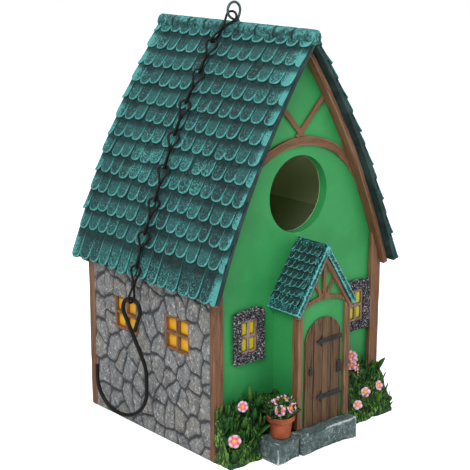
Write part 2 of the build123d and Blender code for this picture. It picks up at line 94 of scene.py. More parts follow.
class ShaderGraph(Sums):
    """A material's node tree, with short calls for the nodes that the finishes share."""

    def __init__(self, name: str) -> None:
        """Start a material with a principled shader and object coordinates.

        Args:
            name: the material's name.
        """
        self.material = bpy.data.materials.new(name)
        self.material.use_nodes = True
        self.tree = self.material.node_tree
        self.tree.nodes.clear()
        output = self.tree.nodes.new("ShaderNodeOutputMaterial")
        self.shader = self.tree.nodes.new("ShaderNodeBsdfPrincipled")
        self.tree.links.new(self.shader.outputs["BSDF"], output.inputs["Surface"])
        self.place = self.tree.nodes.new("ShaderNodeTexCoord").outputs["Object"]

    def _set(self, socket: NodeSocket, value: object) -> None:
        """Link a socket, or give it a constant."""
        if isinstance(value, NodeSocket):
            self.tree.links.new(value, socket)
        elif isinstance(value, tuple) and len(value) == 3 and socket.type == "RGBA":
            socket.default_value = (*value, 1.0)
        else:
            socket.default_value = value

    def attribute(self, name: str, vector: bool = False) -> NodeSocket:
        """Read a mesh attribute.

        Args:
            name: the attribute's name.
            vector: whether it holds a vector.

        Returns:
            The socket that carries it.
        """
        node = self.tree.nodes.new("ShaderNodeAttribute")
        node.attribute_name = name
        return node.outputs["Vector" if vector else "Fac"]

    def stretched(self, scale: tuple[float, float, float], vector: object = None) -> NodeSocket:
        """Scale a coordinate along each axis.

        Args:
            scale: the three factors.
            vector: the coordinate, or none for the object's own.

        Returns:
            The scaled coordinate.
        """
        node = self.tree.nodes.new("ShaderNodeVectorMath")
        node.operation = "MULTIPLY"
        self._set(node.inputs[0], vector or self.place)
        node.inputs[1].default_value = scale
        return node.outputs["Vector"]

    def noise(self, size_mm: float, detail: float = 3.0, rough: float = 0.6, vector: object = None,
              distortion: float = 0.0) -> NodeSocket:
        """Add a noise whose features are about a given size.

        Args:
            size_mm: feature size; for a given vector, in that vector's own units.
            detail: octaves.
            rough: how strong the finer octaves are.
            vector: a coordinate, or none for the object's own in metres.
            distortion: how far the pattern is pulled about.

        Returns:
            The noise value, 0 to 1.
        """
        node = self.tree.nodes.new("ShaderNodeTexNoise")
        self._set(node.inputs["Vector"], vector or self.place)
        node.inputs["Scale"].default_value = 1.0 / size_mm if vector else 1.0 / (size_mm * MM)
        node.inputs["Detail"].default_value = detail
        node.inputs["Roughness"].default_value = rough
        node.inputs["Distortion"].default_value = distortion
        return node.outputs["Fac"]

    def remap(self, value: object, low: float, high: float, to_low: float = 0.0,
              to_high: float = 1.0) -> NodeSocket:
        """Map a value smoothly from one span to another, clamped at both ends.

        Args:
            value: the socket to map.
            low: the value that becomes to_low.
            high: the value that becomes to_high.
            to_low: result at low.
            to_high: result at high.

        Returns:
            The mapped value.
        """
        node = self.tree.nodes.new("ShaderNodeMapRange")
        node.interpolation_type = "SMOOTHSTEP"
        self._set(node.inputs["Value"], value)
        for name, number in (("From Min", low), ("From Max", high), ("To Min", to_low), ("To Max", to_high)):
            node.inputs[name].default_value = number
        return node.outputs["Result"]

    def math(self, operation: str, first: object, second: object = 0.0) -> NodeSocket:
        """Combine two values.

        Args:
            operation: Blender's name of the operation.
            first: socket or number.
            second: socket or number.

        Returns:
            The result.
        """
        node = self.tree.nodes.new("ShaderNodeMath")
        node.operation = operation
        self._set(node.inputs[0], first)
        self._set(node.inputs[1], second)
        return node.outputs["Value"]

    def height(self, axis: str) -> NodeSocket:
        """One coordinate of the object's own place, in metres, by its letter."""
        node = self.tree.nodes.new("ShaderNodeSeparateXYZ")
        self._set(node.inputs[0], self.place)
        return node.outputs[axis]

    def within(self, half_x: float, half_y: float) -> NodeSocket:
        """1 inside an upright box round the origin, given in millimetres."""
        near_x = self.math("LESS_THAN", self.math("ABSOLUTE", self.height("X")), half_x * MM)
        near_y = self.math("LESS_THAN", self.math("ABSOLUTE", self.height("Y")), half_y * MM)
        return self.times(near_x, near_y)

    def mix(self, factor: object, first: object, second: object) -> NodeSocket:
        """Blend two colours.

        Args:
            factor: 0 gives the first, 1 the second.
            first: colour or socket.
            second: colour or socket.

        Returns:
            The blended colour.
        """
        node = self.tree.nodes.new("ShaderNodeMix")
        node.data_type = "RGBA"
        self._set(node.inputs["Factor"], factor)
        self._set(node.inputs[6], first)
        self._set(node.inputs[7], second)
        return node.outputs[2]

    def over(self, under: object, paint: object, value: object, *span: float) -> NodeSocket:
        """Lay one paint over another as a value rises.

        Args:
            under: colour or socket below.
            paint: colour or socket on top.
            value: what decides.
            span: its limits and the cover at each, as for remap.

        Returns:
            The colour.
        """
        return self.mix(self.remap(value, *span), under, paint)

    def bump(self, relief: object, depth_mm: float, strength: float = 1.0) -> None:
        """Shade the surface with a relief of a given depth."""
        node = self.tree.nodes.new("ShaderNodeBump")
        node.inputs["Strength"].default_value = strength
        node.inputs["Distance"].default_value = depth_mm * MM
        self._set(node.inputs["Height"], relief)
        self.tree.links.new(node.outputs["Normal"], self.shader.inputs["Normal"])

    def close(self, colour: object, roughness: object, **constants: float) -> Material:
        """Finish the shader.

        Args:
            colour: base colour.
            roughness: number or socket.
            constants: values for further shader sockets, by name with _ for a space.

        Returns:
            The material.
        """
        self._set(self.shader.inputs["Base Color"], colour)
        self._set(self.shader.inputs["Roughness"], roughness)
        self.shader.inputs["Specular IOR Level"].default_value = GLOSS
        for name, value in constants.items():
            self.shader.inputs[name.replace("_", " ")].default_value = value
        return self.material


# --- finishes -------------------------------------------------------------------------------------
_MADE: dict[object, Material] = {}


@dataclass(frozen=True)
class Finish:
    """A paint or surface that makes its material once."""

    name: str

    def material(self) -> Material:
        """The finish's material, made the first time it is asked for."""
        if self not in _MADE:
            _MADE[self] = self.mixed(ShaderGraph(self.name))
        return _MADE[self]

    def mixed(self, graph: ShaderGraph) -> Material:
        """Fill in the material; each finish has its own.

        Args:
            graph: the empty graph.

        Returns:
            The material.
        """
        raise NotImplementedError


@dataclass(frozen=True)
class Plaster(Finish):
    """Smooth painted plaster with painted shade low down, and pale resin inside as painted light."""

    colour: Colour = (0.034, 0.310, 0.085)
    # Painted shade low down on the walls; also the darker mottling.
    shade: Colour = (0.016, 0.150, 0.044)
    # Bare resin inside, made pale as painted light for the dim inside of the house.
    inside: Colour = RESIN_AND_PAINTED_LIGHT

    def mixed(self, graph: ShaderGraph) -> Material:
        """Build the paint."""
        cloud = graph.remap(graph.noise(22.0, 3.0), 0.35, 0.75, 0.0, 0.35)
        # Painted shade: the plaster darkens towards the floor, in the shade colour.
        low = graph.remap(graph.height("Z"), 0.012, 0.055, 0.75, 0.0)
        tone = graph.mix(graph.math("MAXIMUM", cloud, low), self.colour, self.shade)
        speck = graph.remap(graph.noise(1.6, 4.0, 0.7), 0.62, 0.8, 0.0, 0.12)
        tone = graph.mix(speck, tone, (0.11, 0.42, 0.17))
        tone = graph.mix(graph.within(INNER_X, INNER_Y), tone, self.inside)
        graph.bump(graph.noise(3.5, 4.0, 0.6), 0.25, 0.5)
        return graph.close(tone, graph.remap(graph.noise(6.0), 0.3, 0.7, 0.42, 0.58), Coat_Weight=0.08)


@dataclass(frozen=True)
class Timber(Finish):
    """Brown painted timber whose grain follows the piece's own grain attribute."""

    colour: Colour = (0.180, 0.082, 0.040)
    dark: Colour = (0.070, 0.036, 0.020)
    light: Colour = (0.330, 0.195, 0.120)
    fibre_mm: float = 0.85
    stretch: float = 0.07
    plank_mm: float = 0.0
    seam_mm: float = 0.0

    def mixed(self, graph: ShaderGraph) -> Material:
        """Build the wood paint."""
        grain = graph.stretched((1.0, 1.0, self.stretch), graph.attribute("grain", vector=True))
        fibre = graph.noise(self.fibre_mm, 4.0, 0.65, grain, 0.3)
        broad = graph.noise(self.fibre_mm * 5.0, 2.0, 0.5, grain)
        tone = graph.over(self.colour, self.dark, fibre, 0.54, 0.34, 0.0, 0.85)
        tone = graph.over(tone, self.light, broad, 0.45, 0.75, 0.0, 0.45)
        wear = graph.attribute("wear")
        worn = graph.times(graph.remap(wear, 0.15, 0.8), graph.remap(fibre, 0.35, 0.65))
        tone = graph.mix(worn, tone, self.light)
        tone = graph.over(tone, self.dark, wear, -0.10, -0.55, 0.0, 0.85)
        if self.plank_mm:
            drift = graph.times(graph.noise(9.0, 2.0), 0.5 * MM)
            across = graph.plus(graph.height("X"), graph.plus(drift, -self.seam_mm * MM))
            seam = graph.math("PINGPONG", across, self.plank_mm * MM / 2)
            tone = graph.over(tone, (0.006, 0.004, 0.003), seam, 0.12 * MM, 0.42 * MM, 0.92, 0.0)
        graph.bump(fibre, 0.22, 0.55)
        return graph.close(tone, 0.56)


@dataclass(frozen=True)
class DryBrushed(Finish):
    """Dark resin with a paler paint brushed over its high places, mottled."""

    colour: Colour
    dark: Colour
    light: Colour
    brush_mm: float = 1.4
    coverage: float = 0.5
    relief_mm: float = 0.25
    roughness: float = 0.62
    # A pale inside colour, painted light for the dim inside of the house, if the piece has one.
    inside: Colour | None = None

    def mixed(self, graph: ShaderGraph) -> Material:
        """Build the layered paint."""
        cloud = graph.noise(self.brush_mm * 5.0, 3.0)
        fine = graph.noise(self.brush_mm, 5.0, 0.7, distortion=0.6)
        wear = graph.attribute("wear")
        tone = graph.over(self.dark, self.colour, cloud, 0.35, 0.7)
        tone = graph.over(tone, self.dark, wear, -0.05, -0.5, 0.0, 0.9)
        high = graph.plus(fine, graph.times(wear, 0.45))
        edge = 0.78 - 0.28 * self.coverage
        tone = graph.over(tone, self.light, high, edge - 0.07, edge + 0.13)
        # Painted light: inside the house the pale inside colour replaces the paint.
        if self.inside:
            tone = graph.mix(graph.within(INNER_X, INNER_Y), tone, self.inside)
        graph.bump(fine, self.relief_mm, 0.6)
        return graph.close(tone, self.roughness)


@dataclass(frozen=True)
class ShingleGlaze(Finish):
    """Slate-dark shingles with turquoise brushed over rims, mottled from tile to tile, with a painted shadow
    under each row above.
    """

    slate: Colour = (0.014, 0.030, 0.034)
    teal: Colour = (0.026, 0.115, 0.112)
    rim: Colour = (0.100, 0.450, 0.425)
    bright: Colour = (0.100, 0.430, 0.405)
    gap: Colour = (0.013, 0.048, 0.050)
    # Painted shadow colour for the part of each tile that lies under the row above.
    deep: Colour = (0.006, 0.016, 0.018)
    shadow_start: float = 0.78
    brush_mm: float = 0.9
    rim_start: float = 0.56

    def mixed(self, graph: ShaderGraph) -> Material:
        """Build the glaze."""
        rim, tone_of, worn = graph.attribute("rim"), graph.attribute("tone"), graph.attribute("worn")
        fine = graph.noise(self.brush_mm, 5.0, 0.72, distortion=0.8)
        cloud = graph.noise(self.brush_mm * 9.0, 3.0)
        body = graph.over(self.slate, self.teal, graph.plus(fine, graph.times(tone_of, 0.14)), 0.46, 0.64)
        body = graph.over(body, self.gap, cloud, 0.30, 0.50, 0.35, 0.0)
        lift = graph.plus(graph.times(worn, 0.30), fine)
        body = graph.over(body, self.bright, lift, 0.56, 0.68, 0.0, 0.80)
        ring = graph.remap(rim, self.rim_start, self.rim_start + 0.34)
        ring = graph.times(ring, graph.remap(fine, 0.36, 0.60, 0.25, 1.0))
        body = graph.mix(ring, body, self.rim)
        # Painted shadow: each tile darkens towards its top, where the row above hangs over it.
        shadow = graph.plus(graph.attribute("tuck"), graph.times(fine, 0.35))
        body = graph.over(body, self.deep, shadow, self.shadow_start, self.shadow_start + 0.30, 0.0, 0.78)
        body = graph.over(body, self.gap, rim, 1.05, 1.40)
        graph.bump(fine, 0.40, 0.8)
        return graph.close(body, 0.70)


@dataclass(frozen=True)
class FieldstonePaint(Finish):
    """Grey stones in dark joints, dry-brushed with pale streaks."""

    stone: Colour = (0.200, 0.208, 0.215)
    warm: Colour = (0.215, 0.208, 0.190)
    dark: Colour = (0.085, 0.090, 0.098)
    joint: Colour = (0.048, 0.053, 0.058)
    streak: Colour = (0.660, 0.670, 0.680)
    # The walls' inner faces: bare resin made pale as painted light for the dim inside of the house.
    inside: Colour = (0.400, 0.500, 0.260)

    def mixed(self, graph: ShaderGraph) -> Material:
        """Build the stone paint."""
        mass, tone_of = graph.attribute("mass"), graph.attribute("tone")
        cloud = graph.noise(5.0, 4.0, 0.65)
        fine = graph.noise(1.3, 5.0, 0.72, graph.stretched((1000.0, 1000.0, 560.0)), 1.6)
        tone = graph.over(self.stone, self.warm, tone_of, 0.2, 0.8)
        tone = graph.over(tone, self.dark, cloud, 0.55, 0.32, 0.0, 0.75)
        tone = graph.over(tone, self.streak, fine, 0.52, 0.64, 0.0, 0.80)
        tone = graph.over(tone, self.joint, mass, 0.55, 0.10)
        tone = graph.over(tone, self.dark, mass, 0.95, 0.55, 0.0, 0.35)
        tone = graph.mix(graph.within(INNER_X, 100.0), tone, self.inside)
        graph.bump(graph.plus(fine, cloud), 0.35, 0.7)
        return graph.close(tone, 0.66)


@dataclass(frozen=True)
class PanePaint(Finish):
    """Yellow window panes, shaded from the muntins inwards."""

    colour: Colour
    shade: Colour
    edge_mm: float = 1.1

    def mixed(self, graph: ShaderGraph) -> Material:
        """Build the pane paint."""
        edge = graph.attribute("edge")
        smear = graph.noise(2.2, 3.0)
        reach = graph.plus(edge, graph.times(smear, 0.9))
        tone = graph.over(self.shade, self.colour, reach, 0.55, 0.55 + self.edge_mm)
        return graph.close(tone, 0.34, Coat_Weight=0.25)


@dataclass(frozen=True)
class WirePaint(Finish):
    """Coated wire with a faint scuffed sheen."""

    colour: Colour
    scuff: Colour
    roughness: float = 0.36
    metallic: float = 0.35

    def mixed(self, graph: ShaderGraph) -> Material:
        """Build the coating."""
        fine = graph.noise(0.9, 4.0, 0.65)
        tone = graph.over(self.colour, self.scuff, fine, 0.56, 0.76, 0.0, 0.8)
        graph.bump(fine, 0.06, 0.5)
        return graph.close(tone, self.roughness, Metallic=self.metallic, Specular_IOR_Level=0.22)


@dataclass(frozen=True)
class LeafPaint(Finish):
    """Leaves and blades, dark at the foot and lighter towards the tip."""

    dark: Colour = (0.006, 0.026, 0.008)
    colour: Colour = (0.022, 0.100, 0.016)
    light: Colour = (0.105, 0.240, 0.024)

    def mixed(self, graph: ShaderGraph) -> Material:
        """Build the leaf paint."""
        tip, tone_of = graph.attribute("tip"), graph.attribute("tone")
        stroke = graph.noise(1.2, 4.0, 0.7)
        tone = graph.over(self.dark, self.colour, graph.plus(tip, graph.times(tone_of, 0.5)), 0.15, 0.75)
        high = graph.plus(graph.times(tip, 0.45), graph.times(tone_of, 0.75))
        tone = graph.mix(graph.times(graph.remap(high, 0.55, 1.0), graph.remap(stroke, 0.4, 0.6)),
                         tone, self.light)
        graph.bump(stroke, 0.15, 0.5)
        return graph.close(tone, 0.5)


@dataclass(frozen=True)
class GrassStrokes(Finish):
    """A moulded mound painted in upright strokes of dark and bright green."""

    dark: Colour = (0.004, 0.016, 0.007)
    colour: Colour = (0.022, 0.100, 0.018)
    light: Colour = (0.190, 0.420, 0.040)

    def mixed(self, graph: ShaderGraph) -> Material:
        """Build the strokes."""
        drawn = graph.stretched((1000.0, 1000.0, 210.0))
        stroke = graph.noise(0.9, 4.0, 0.7, drawn, 1.0)
        patch = graph.noise(7.0, 2.0)
        tone = graph.over(self.dark, self.colour, stroke, 0.40, 0.62)
        bright = graph.times(graph.remap(stroke, 0.50, 0.60), graph.remap(patch, 0.40, 0.56))
        tone = graph.mix(bright, tone, self.light)
        tone = graph.over(tone, self.dark, graph.attribute("wear"), -0.05, -0.5, 0.0, 0.9)
        graph.bump(stroke, 0.5, 0.8)
        return graph.close(tone, 0.52)


@dataclass(frozen=True)
class PetalPaint(Finish):
    """Petals, pale pink at the rim over deep pink, round a yellow eye."""

    eye: Colour = (0.85, 0.52, 0.06)
    heart: Colour = (0.76, 0.13, 0.24)
    rim: Colour = (0.86, 0.58, 0.68)

    def mixed(self, graph: ShaderGraph) -> Material:
        """Build the petal paint."""
        reach = graph.attribute("petal")
        tone_of = graph.attribute("tone")
        stroke = graph.noise(0.8, 3.0)
        mixed = graph.plus(reach, graph.times(graph.plus(stroke, tone_of), 0.30))
        tone = graph.over(self.heart, self.rim, mixed, 0.62, 1.15)
        tone = graph.over(tone, self.eye, reach, 0.36, 0.26)
        graph.bump(stroke, 0.12, 0.5)
        return graph.close(tone, 0.5)


class Paint(Enum):
    """The finishes of this house."""

    PLASTER = Plaster("plaster_green")
    TIMBER = Timber("timber_brown")
    DOOR = Timber("door_brown", (0.120, 0.062, 0.029), (0.018, 0.010, 0.006), (0.240, 0.145, 0.078), 0.7,
                  0.05, 5.85, -0.5)
    SASH = Timber("sash_pink_brown", (0.300, 0.190, 0.150), (0.090, 0.050, 0.040), (0.480, 0.360, 0.310))
    CASEMENT = Timber("casement_brown", (0.255, 0.118, 0.055), (0.080, 0.036, 0.018), (0.380, 0.210, 0.120))
    IRON = DryBrushed("iron_dark", (0.026, 0.026, 0.030), (0.009, 0.009, 0.011), (0.110, 0.110, 0.120),
                      0.7, 0.25, 0.12, 0.5)
    SHINGLE = ShingleGlaze("shingle_teal")
    PORCH_SHINGLE = ShingleGlaze("porch_shingle_teal", slate=(0.008, 0.020, 0.022),
                                 teal=(0.013, 0.050, 0.050),
                                 rim=(0.110, 0.480, 0.470), brush_mm=0.7, rim_start=0.60)
    RIDGE = DryBrushed("ridge_teal", (0.036, 0.140, 0.137), (0.008, 0.028, 0.030), (0.090, 0.390, 0.365),
                       0.7, 0.50, 0.30, 0.66)
    # Inside the house the panels' undersides take the pale resin colour, as painted light.
    PANEL = DryBrushed("roof_edge_dark", (0.026, 0.060, 0.058), (0.010, 0.026, 0.026), (0.055, 0.150, 0.140),
                       1.5, 0.15, 0.2, 0.6, RESIN_AND_PAINTED_LIGHT)
    PORCH_EDGE = DryBrushed("porch_edge_teal", (0.018, 0.070, 0.070), (0.007, 0.028, 0.030),
                            (0.105, 0.480, 0.460), 0.8, 0.72, 0.25, 0.6)
    STONE = FieldstonePaint("fieldstone_grey")
    PEBBLE = DryBrushed("pebble_purple_grey", (0.040, 0.033, 0.044), (0.010, 0.008, 0.012),
                        (0.400, 0.380, 0.420), 0.9, 0.26, 0.15, 0.6)
    STEP = DryBrushed("step_grey_green", (0.125, 0.178, 0.176), (0.055, 0.085, 0.084), (0.520, 0.620, 0.620),
                      0.6, 0.58, 0.35, 0.7)
    CLAY = DryBrushed("terracotta", (0.400, 0.098, 0.040), (0.200, 0.046, 0.020), (0.560, 0.190, 0.090),
                      2.0, 0.15, 0.1, 0.55)
    SOIL = GrassStrokes("grass_strokes")
    BASE = DryBrushed("base_resin", (0.120, 0.130, 0.110), (0.060, 0.065, 0.055), (0.220, 0.230, 0.200),
                      3.0, 0.2, 0.15, 0.7)
    PLUG = DryBrushed("plug_rubber", (0.020, 0.020, 0.020), (0.010, 0.010, 0.010), (0.050, 0.050, 0.050),
                      1.5, 0.1, 0.08, 0.75)
    PANE_SIDE = PanePaint("pane_amber", (0.800, 0.400, 0.008), (0.200, 0.130, 0.010))
    PANE_FRONT = PanePaint("pane_yellow", (0.560, 0.470, 0.012), (0.120, 0.140, 0.012))
    LEAF = LeafPaint("leaf_green")
    PETAL = PetalPaint("petal_pink")
    BLACK_WIRE = WirePaint("wire_black", (0.005, 0.004, 0.004), (0.016, 0.011, 0.010), 0.45, 0.0)
    LOOP_WIRE = WirePaint("wire_teal", (0.050, 0.085, 0.085), (0.180, 0.260, 0.260), 0.45, 0.3)


# --- meshes ---------------------------------------------------------------------------------------
def scene_object(name: str, data: bpy.types.ID) -> Object:
    """Put an object into the scene, at its origin.

    Args:
        name: the object's name.
        data: its mesh, camera or light.

    Returns:
        The object.
    """
    thing = bpy.data.objects.new(name, data)
    bpy.context.scene.collection.objects.link(thing)
    return thing


def mesh_piece(name: str, points_mm: Iterable, faces: Iterable, finish: Finish | None = None,
               attributes: dict[str, Iterable] | None = None, edges: Iterable = ()) -> Object:
    """Make an object at the origin from points in millimetres.

    Args:
        name: the object's name.
        points_mm: its vertices.
        faces: its faces.
        finish: the paint, if it has one yet.
        attributes: one number for each vertex, by attribute name.
        edges: loose edges, for a path.

    Returns:
        The object, in the scene.
    """
    points = np.asarray(points_mm, float) * MM
    mesh = bpy.data.meshes.new(name)
    mesh.from_pydata(points.tolist(), list(edges), list(faces))
    for key, values in (attributes or {}).items():
        layer = mesh.attributes.new(key, "FLOAT", "POINT")
        layer.data.foreach_set("value", np.asarray(values, np.float32).ravel())
    if finish:
        mesh.materials.append(finish.material())
    return scene_object(name, mesh)


def skin(rings: int, around: int, start: int = 0) -> list[tuple[int, ...]]:
    """Faces over rings of points that follow each other, closed at both ends.

    Args:
        rings: how many rings.
        around: points in each.
        start: number of the first point.

    Returns:
        The faces.
    """
    faces = []
    for low in range(start, start + (rings - 1) * around, around):
        for here in range(around):
            after = (here + 1) % around
            faces.append((low + here, low + after, low + around + after, low + around + here))
    last = start + (rings - 1) * around
    return faces + [tuple(range(last, last + around)), tuple(reversed(range(start, start + around)))]


def coordinates(piece: Object) -> Points:
    """A piece's vertices in millimetres."""
    flat = np.zeros(len(piece.data.vertices) * 3, np.float32)
    piece.data.vertices.foreach_get("co", flat)
    return flat.reshape(-1, 3).astype(float) / MM


def move_points(piece: Object, points_mm: Points) -> None:
    """Write a piece's vertices back, in millimetres."""
    piece.data.vertices.foreach_set("co", (points_mm * MM).astype(np.float32).ravel())
    piece.data.update()


def write_attribute(piece: Object, name: str, values: Points, kind: str = "FLOAT") -> None:
    """Store one number or vector for each vertex.

    Args:
        piece: the mesh object.
        name: the attribute's name.
        values: the numbers, or rows of three.
        kind: FLOAT or FLOAT_VECTOR.
    """
    layer = piece.data.attributes.get(name) or piece.data.attributes.new(name, kind, "POINT")
    key = "vector" if kind == "FLOAT_VECTOR" else "value"
    layer.data.foreach_set(key, np.asarray(values, np.float32).ravel())


def settle(piece: Object) -> Object:
    """Turn a piece's modifiers into plain mesh.

    Args:
        piece: the object with live modifiers.

    Returns:
        The same object, with none.
    """
    bpy.context.view_layer.update()
    graph = bpy.context.evaluated_depsgraph_get()
    mesh = bpy.data.meshes.new_from_object(piece.evaluated_get(graph), preserve_all_data_layers=True,
                                           depsgraph=graph)
    piece.modifiers.clear()
    old, piece.data = piece.data, mesh
    bpy.data.meshes.remove(old)
    return piece


def smooth(piece: Object, crease: float | None = None) -> None:
    """Shade every face smooth, except across edges sharper than the crease, in degrees."""
    piece.data.polygons.foreach_set("use_smooth", [True] * len(piece.data.polygons))
    if crease:
        piece.data.set_sharp_from_angle(angle=math.radians(crease))


def outwards(piece: Object) -> None:
    """Merge doubles and turn every face outwards."""
    work = bmesh.new()
    work.from_mesh(piece.data)
    bmesh.ops.remove_doubles(work, verts=work.verts, dist=1e-6)
    bmesh.ops.recalc_face_normals(work, faces=work.faces)
    work.to_mesh(piece.data)
    work.free()


def joined(name: str, pieces: Sequence[Object]) -> Object:
    """Join pieces into one object.

    Args:
        name: the result's name.
        pieces: what it is made of; they are used up.

    Returns:
        The one object.
    """
    bpy.ops.object.select_all(action="DESELECT")
    for piece in pieces:
        piece.select_set(True)
    bpy.context.view_layer.objects.active = pieces[0]
    if len(pieces) > 1:
        bpy.ops.object.join()
    pieces[0].name = name
    pieces[0].data.name = name
    return pieces[0]


def keep(piece: Object, body: str = HOUSE, stands_for: Sequence[str] = ()) -> None:
    """Give a finished piece its body and the nodes it stands for.

    Args:
        piece: the finished object.
        body: the body it moves with.
        stands_for: the CAD nodes that it replaces.
    """
    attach(piece, body)
    if stands_for:
        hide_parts(*stands_for)
    LOG.info("%s on %s: %d faces", piece.name, body, len(piece.data.polygons))


def lattice_noise(points: Points, seed: int = 0) -> Points:
    """Smooth noise between -1 and 1.

    Args:
        points: rows of three, in feature sizes.
        seed: picks the pattern.

    Returns:
        One value for each row.
    """
    cell = np.floor(points).astype(np.int64)
    part = points - cell
    ease = part * part * (3.0 - 2.0 * part)
    total = np.zeros(len(points))
    for corner in range(8):
        step = np.array([corner & 1, corner >> 1 & 1, corner >> 2 & 1])
        key = cell + step
        code = key[:, 0] * 73856093 ^ key[:, 1] * 19349663 ^ key[:, 2] * 83492791 ^ (seed + 7) * 40503
        code = (code ^ (code >> 13)) * 1274126177 & 0xFFFFFFFF
        value = (code >> 8 & 0xFFFF) / 32767.5 - 1.0
        weight = np.where(step, ease, 1.0 - ease).prod(axis=1)
        total += value * weight
    return total


def convexity(piece: Object, rounds: int = 3) -> Points:
    """How far each vertex stands proud of its neighbours.

    Args:
        piece: an evenly meshed object.
        rounds: how often the value is averaged with the neighbours'.

    Returns:
        About -1 in a crease to 1 on an edge.
    """
    mesh = piece.data
    pairs = np.zeros(len(mesh.edges) * 2, np.int32)
    mesh.edges.foreach_get("vertices", pairs)
    one, two = pairs.reshape(-1, 2).T
    normals = np.zeros(len(mesh.vertices) * 3, np.float32)
    mesh.vertices.foreach_get("normal", normals)
    normals = normals.reshape(-1, 3)
    places = coordinates(piece)
    run = places[two] - places[one]
    run /= np.maximum(np.linalg.norm(run, axis=1, keepdims=True), 1e-9)
    count = np.bincount(one, minlength=len(places)) + np.bincount(two, minlength=len(places)) + 1e-9
    value = np.bincount(one, -(normals[one] * run).sum(1), len(places))
    value += np.bincount(two, (normals[two] * run).sum(1), len(places))
    value /= count
    for _ in range(rounds):
        shared = np.bincount(one, value[two], len(places)) + np.bincount(two, value[one], len(places))
        value = 0.5 * value + 0.5 * shared / count
    return np.clip(value * 4.5, -1.0, 1.0)


def upright_grain(points: Points) -> Points:
    """Grain of a standing timber: across, deep, along."""
    return points.copy()


def slope_grain(run: float, rise: float) -> GrainMap:
    """Grain of a straight timber that leans the same way on both sides of the house.

    Args:
        run: its horizontal part, on the right side.
        rise: its vertical part.

    Returns:
        A map from places to across, deep and along.
    """
    length = math.hypot(run, rise)

    def grain(points: Points) -> Points:
        across = np.abs(points[:, 0]) * rise / length - points[:, 2] * run / length
        along = np.abs(points[:, 0]) * run / length + points[:, 2] * rise / length
        return np.stack([across, points[:, 1], along], axis=1)

    return grain


def ring_grain(centre_x: float, centre_z: float) -> GrainMap:
    """Grain of a curved timber round a centre on the right side.

    Args:
        centre_x: the centre's place across.
        centre_z: its height.

    Returns:
        A map from places to across, deep and along.
    """

    def grain(points: Points) -> Points:
        dx, dz = np.abs(points[:, 0]) - centre_x, points[:, 2] - centre_z
        radius = np.hypot(dx, dz)
        return np.stack([radius, points[:, 1], np.arctan2(dz, dx) * radius.mean()], axis=1)

    return grain


@dataclass
class Casting:
    """CAD nodes recast with softened edges, a hand-carved relief and worn places."""

    nodes: Sequence[str]
    finish: Finish
    slot: str
    voxel: float = 0.45
    rounding: int = 3
    wobble: float = 0.18
    wobble_size: float = 9.0
    relief: float = 0.0
    relief_size: float = 1.0
    grain: GrainMap | None = None
    grain_depth: float = 0.16
    seed: int = 1

    def cast(self, name: str) -> Object:
        """Make the recast piece.

        Args:
            name: its name.

        Returns:
            The object, without a body yet.
        """
        copies = []
        for node in self.nodes:
            copy = scene_object(name, bpy.data.objects[node].data.copy())
            outwards(copy)
            copies.append(copy)
        piece = joined(name, copies)
        piece.data.materials.clear()
        remesh = piece.modifiers.new("even", "REMESH")
        remesh.mode = "VOXEL"
        remesh.voxel_size = self.voxel * MM
        if self.rounding:
            soften = piece.modifiers.new("soften", "SMOOTH")
            soften.factor = 0.5
            soften.iterations = self.rounding
        settle(piece)
        self._carve(piece)
        piece.data.materials.append(self.finish.material())
        smooth(piece)
        return piece

    def _carve(self, piece: Object) -> None:
        """Push the surface in and out, and store the wear and the grain."""
        places = coordinates(piece)
        normals = np.zeros(len(places) * 3, np.float32)
        piece.data.vertices.foreach_get("normal", normals)
        normals = normals.reshape(-1, 3)
        depth = self.wobble * lattice_noise(places / self.wobble_size, self.seed)
        if self.relief:
            depth += self.relief * lattice_noise(places / self.relief_size, self.seed + 3)
            depth += 0.5 * self.relief * lattice_noise(places / self.relief_size * 2.1, self.seed + 5)
        if self.grain:
            grain = self.grain(places)
            stretched = grain / np.array([0.95, 0.95, 16.0])
            depth += self.grain_depth * lattice_noise(stretched, self.seed + 8)
            depth += 0.6 * self.grain_depth * lattice_noise(stretched * 2.2, self.seed + 9)
            write_attribute(piece, "grain", grain, "FLOAT_VECTOR")
        places += normals * (depth - 0.4 * self.wobble)[:, None]
        places[:, 2] = np.maximum(places[:, 2], 0.0)
        move_points(piece, places)
        write_attribute(piece, "wear", convexity(piece))

    def place(self, name: str, body: str = HOUSE) -> Object:
        """Cast the piece and give it its body.

        Args:
            name: its name.
            body: the body it moves with.

        Returns:
            The finished object.
        """
        piece = self.cast(name)
        keep(piece, body, self.nodes)
        return piece


def dress(nodes: Iterable[str], finish: Finish) -> None:
    """Give CAD nodes their paint.

    Args:
        nodes: the nodes' names.
        finish: the paint.
    """
    for node in nodes:
        mesh = bpy.data.objects[node].data
        mesh.materials.clear()
        mesh.materials.append(finish.material())
        LOG.info("%s dressed in %s", node, finish.name)


